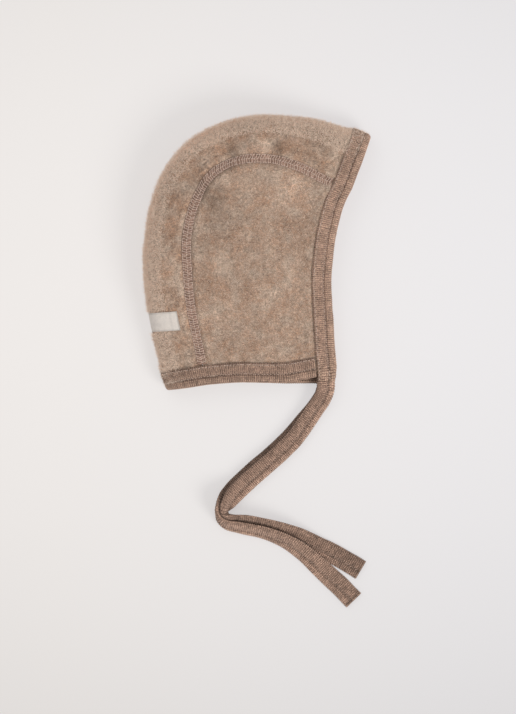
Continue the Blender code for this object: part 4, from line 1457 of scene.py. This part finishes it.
def back_label():
    """Woven label wrapped round the fold above the nape, sewn on slightly askew."""
    middle = float(FINE[LABEL_PLACE])
    length = running_length(FOLD_LINE)[-1]
    half = LABEL_WIDTH / 2 / length
    fold, seam, _, _ = section_at(np.array((middle,)))
    depth = np.linalg.norm(seam - fold)
    upper_angle = math.degrees(math.acos((1.0 - LABEL_REACH / depth) ** (UPPER_ROUNDNESS / 2)))
    lower_angle = math.degrees(math.acos((1.0 - LABEL_REACH / depth) ** (LOWER_ROUNDNESS / 2)))
    angles = np.linspace(upper_angle, -lower_angle, LABEL_COLUMNS)
    rows = []
    for place in np.linspace(middle - half, middle + half, LABEL_ROWS):
        straight = strip_points(np.array((place,)), angles)[0]
        inset = np.linalg.norm(straight[:, :2] - fold[0], axis=1) / length
        askew = place - LABEL_SKEW * inset * np.sign(angles)
        rows.append(np.diagonal(strip_points(askew, angles)).T)
    grid = np.array(rows)
    normals = grid_normals(grid)
    normals *= np.sign(normals[0, 0, 2])
    outer = grid + normals * (FLEECE / 2 + GAP + LABEL_CLOTH)
    inner = grid + normals * (FLEECE / 2 + GAP / 2)
    across = running_length(grid[LABEL_ROWS // 2])
    across = across - across[LABEL_COLUMNS // 2]
    along = np.linspace(-LABEL_WIDTH / 2, LABEL_WIDTH / 2, LABEL_ROWS)
    runs = np.dstack(np.broadcast_arrays(along[:, None], across[None]))
    off_crease = across.max() - np.abs(across) - LABEL_HEM
    # Painted shade in the crease where the label is sewn down.
    sewn = np.tile(1.0 - LABEL_CREASE_SHADE * bell(off_crease, LABEL_CREASE), (LABEL_ROWS, 1))
    wall("woven_label", outer, inner, LABEL_LOOK, sewn, "back_label", runs)


back_label()


# Nap


def nap(name, surface, kind):
    """Bent wool fibres scattered over a surface, each a pair of thin triangles with its own tone."""
    rng = np.random.default_rng(kind.seed)
    grid, normals, painted_shading_and_tone = surface
    count = kind.count
    rows, columns = grid.shape[:2]
    row = rng.uniform(0.0, rows - 1.001, count)
    column = rng.uniform(0.0, columns - 1.001, count)
    i, j = row.astype(int), column.astype(int)
    fr, fc = (row - i)[:, None], (column - j)[:, None]
    root = (
        grid[i, j] * (1 - fr) * (1 - fc) + grid[i + 1, j] * fr * (1 - fc)
        + grid[i, j + 1] * (1 - fr) * fc + grid[i + 1, j + 1] * fr * fc
    )
    normal = normals[i, j]
    tangent = unit(np.cross(normal, rng.normal(size=(count, 3))))
    turned = unit(tangent + 0.9 * np.cross(normal, tangent) * rng.uniform(-1.0, 1.0, (count, 1)))
    size = kind.length * rng.uniform(0.5, 1.3, (count, 1))
    rise = kind.rise * rng.uniform(0.2, 1.6, (count, 1))
    middle = root + size * 0.5 * unit(tangent + normal * rise)
    tip = middle + size * 0.5 * unit(turned + normal * rise * rng.uniform(-0.6, 1.0, (count, 1)))
    thickness = kind.fibre * rng.uniform(0.7, 1.6, (count, 1))
    side = unit(np.cross(tip - root, normal)) * thickness
    # Each fibre's tone takes the painted shading of the cloth beneath it, on top of its own random tone.
    tones = np.clip(rng.normal(kind.tone, TONE_SPREAD, count) + painted_shading_and_tone[i, j] - 1.0, 0.0, 1.0)
    shown = ~under_label(root, np.sign(normal[:, 2]))
    points = np.stack((root, middle - side, middle + side, tip), axis=1)[shown].reshape(-1, 3)
    points[:, 2] = np.maximum(points[:, 2], 0.0)
    start = np.arange(shown.sum())[:, None] * 4
    faces = np.concatenate((start + (0, 1, 2), start + (1, 3, 2)))
    piece = new_piece(name, points, faces.tolist(), NAP_LOOK, tones=np.repeat(tones[shown], 4))
    settle(piece)


nap("left_side_nap", left_surface, LEFT_NAP)
nap("crown_strip_nap", strip_surface, STRIP_NAP)
nap("crown_fold_nap", [grid[:, FOLD_COLUMNS] for grid in strip_surface], FOLD_NAP)
nap("right_side_nap", right_surface, RIGHT_NAP)


# Floor and light


def floor_material():
    """Pale backdrop that glows a little, so that shadows on it stay faint, and fades towards its edges."""
    material, tree, shader = new_material("pale_floor", 0.9, 0.0, (1.0, 1.0, 1.0))
    shader.inputs["Specular IOR Level"].default_value = 0.0
    shader.inputs["Base Color"].default_value = (*(FLOOR_COLOUR * (1.0 - FLOOR_GLOW)), 1.0)
    where = add_node(tree, "ShaderNodeNewGeometry").outputs["Position"]
    parts = add_node(tree, "ShaderNodeSeparateXYZ", {0: where})
    eastward = spread(tree, parts.outputs["X"], -TINT_REACH, TINT_REACH, 0.0, 1.0)
    tree.links.new(mix_colour(tree, eastward, WEST_GLOW, EAST_GLOW), shader.inputs["Emission Color"])
    east = maths(tree, "SUBTRACT", parts.outputs["X"], BRIGHT_X)
    north = maths(tree, "SUBTRACT", parts.outputs["Y"], BRIGHT_Y)
    faded = maths(tree, "ADD", times(tree, east, east, FADE_X), times(tree, north, north, FADE_Y))
    fade = maths(tree, "MAXIMUM", maths(tree, "SUBTRACT", 1.0, faded), FADE_LEAST)
    glow = times(tree, fade, float(FLOOR_COLOUR.max()) * FLOOR_GLOW)
    tree.links.new(glow, shader.inputs["Emission Strength"])
    return material


FLOOR_CORNERS = np.array(((-1, -1, 0), (1, -1, 0), (1, 1, 0), (-1, 1, 0))) * FLOOR_REACH
floor = new_piece("floor", FLOOR_CORNERS - (0.0, 0.0, FLOOR_DROP), [(0, 1, 2, 3)], floor_material())


for lamp in LAMPS:
    light = bpy.data.lights.new(lamp.name, "AREA")
    light.shape = "DISK"
    light.size = lamp.size
    light.energy = lamp.power
    light.color = lamp.colour
    holder = bpy.data.objects.new(lamp.name, light)
    bpy.context.scene.collection.objects.link(holder)
    holder.location = lamp.place
    east, north, upward = np.array(LAMP_TARGET) - np.array(lamp.place)
    tilt = math.atan2(math.hypot(east, north), -upward)
    holder.rotation_euler = (tilt, 0.0, math.atan2(north, east) - math.pi / 2)

world = bpy.data.worlds.new("room")
world.use_nodes = True
room = world.node_tree.nodes["Background"]
room.inputs["Color"].default_value = ROOM_COLOUR
room.inputs["Strength"].default_value = ROOM_LIGHT
bpy.context.scene.world = world
bpy.context.scene.view_settings.view_transform = "Standard"
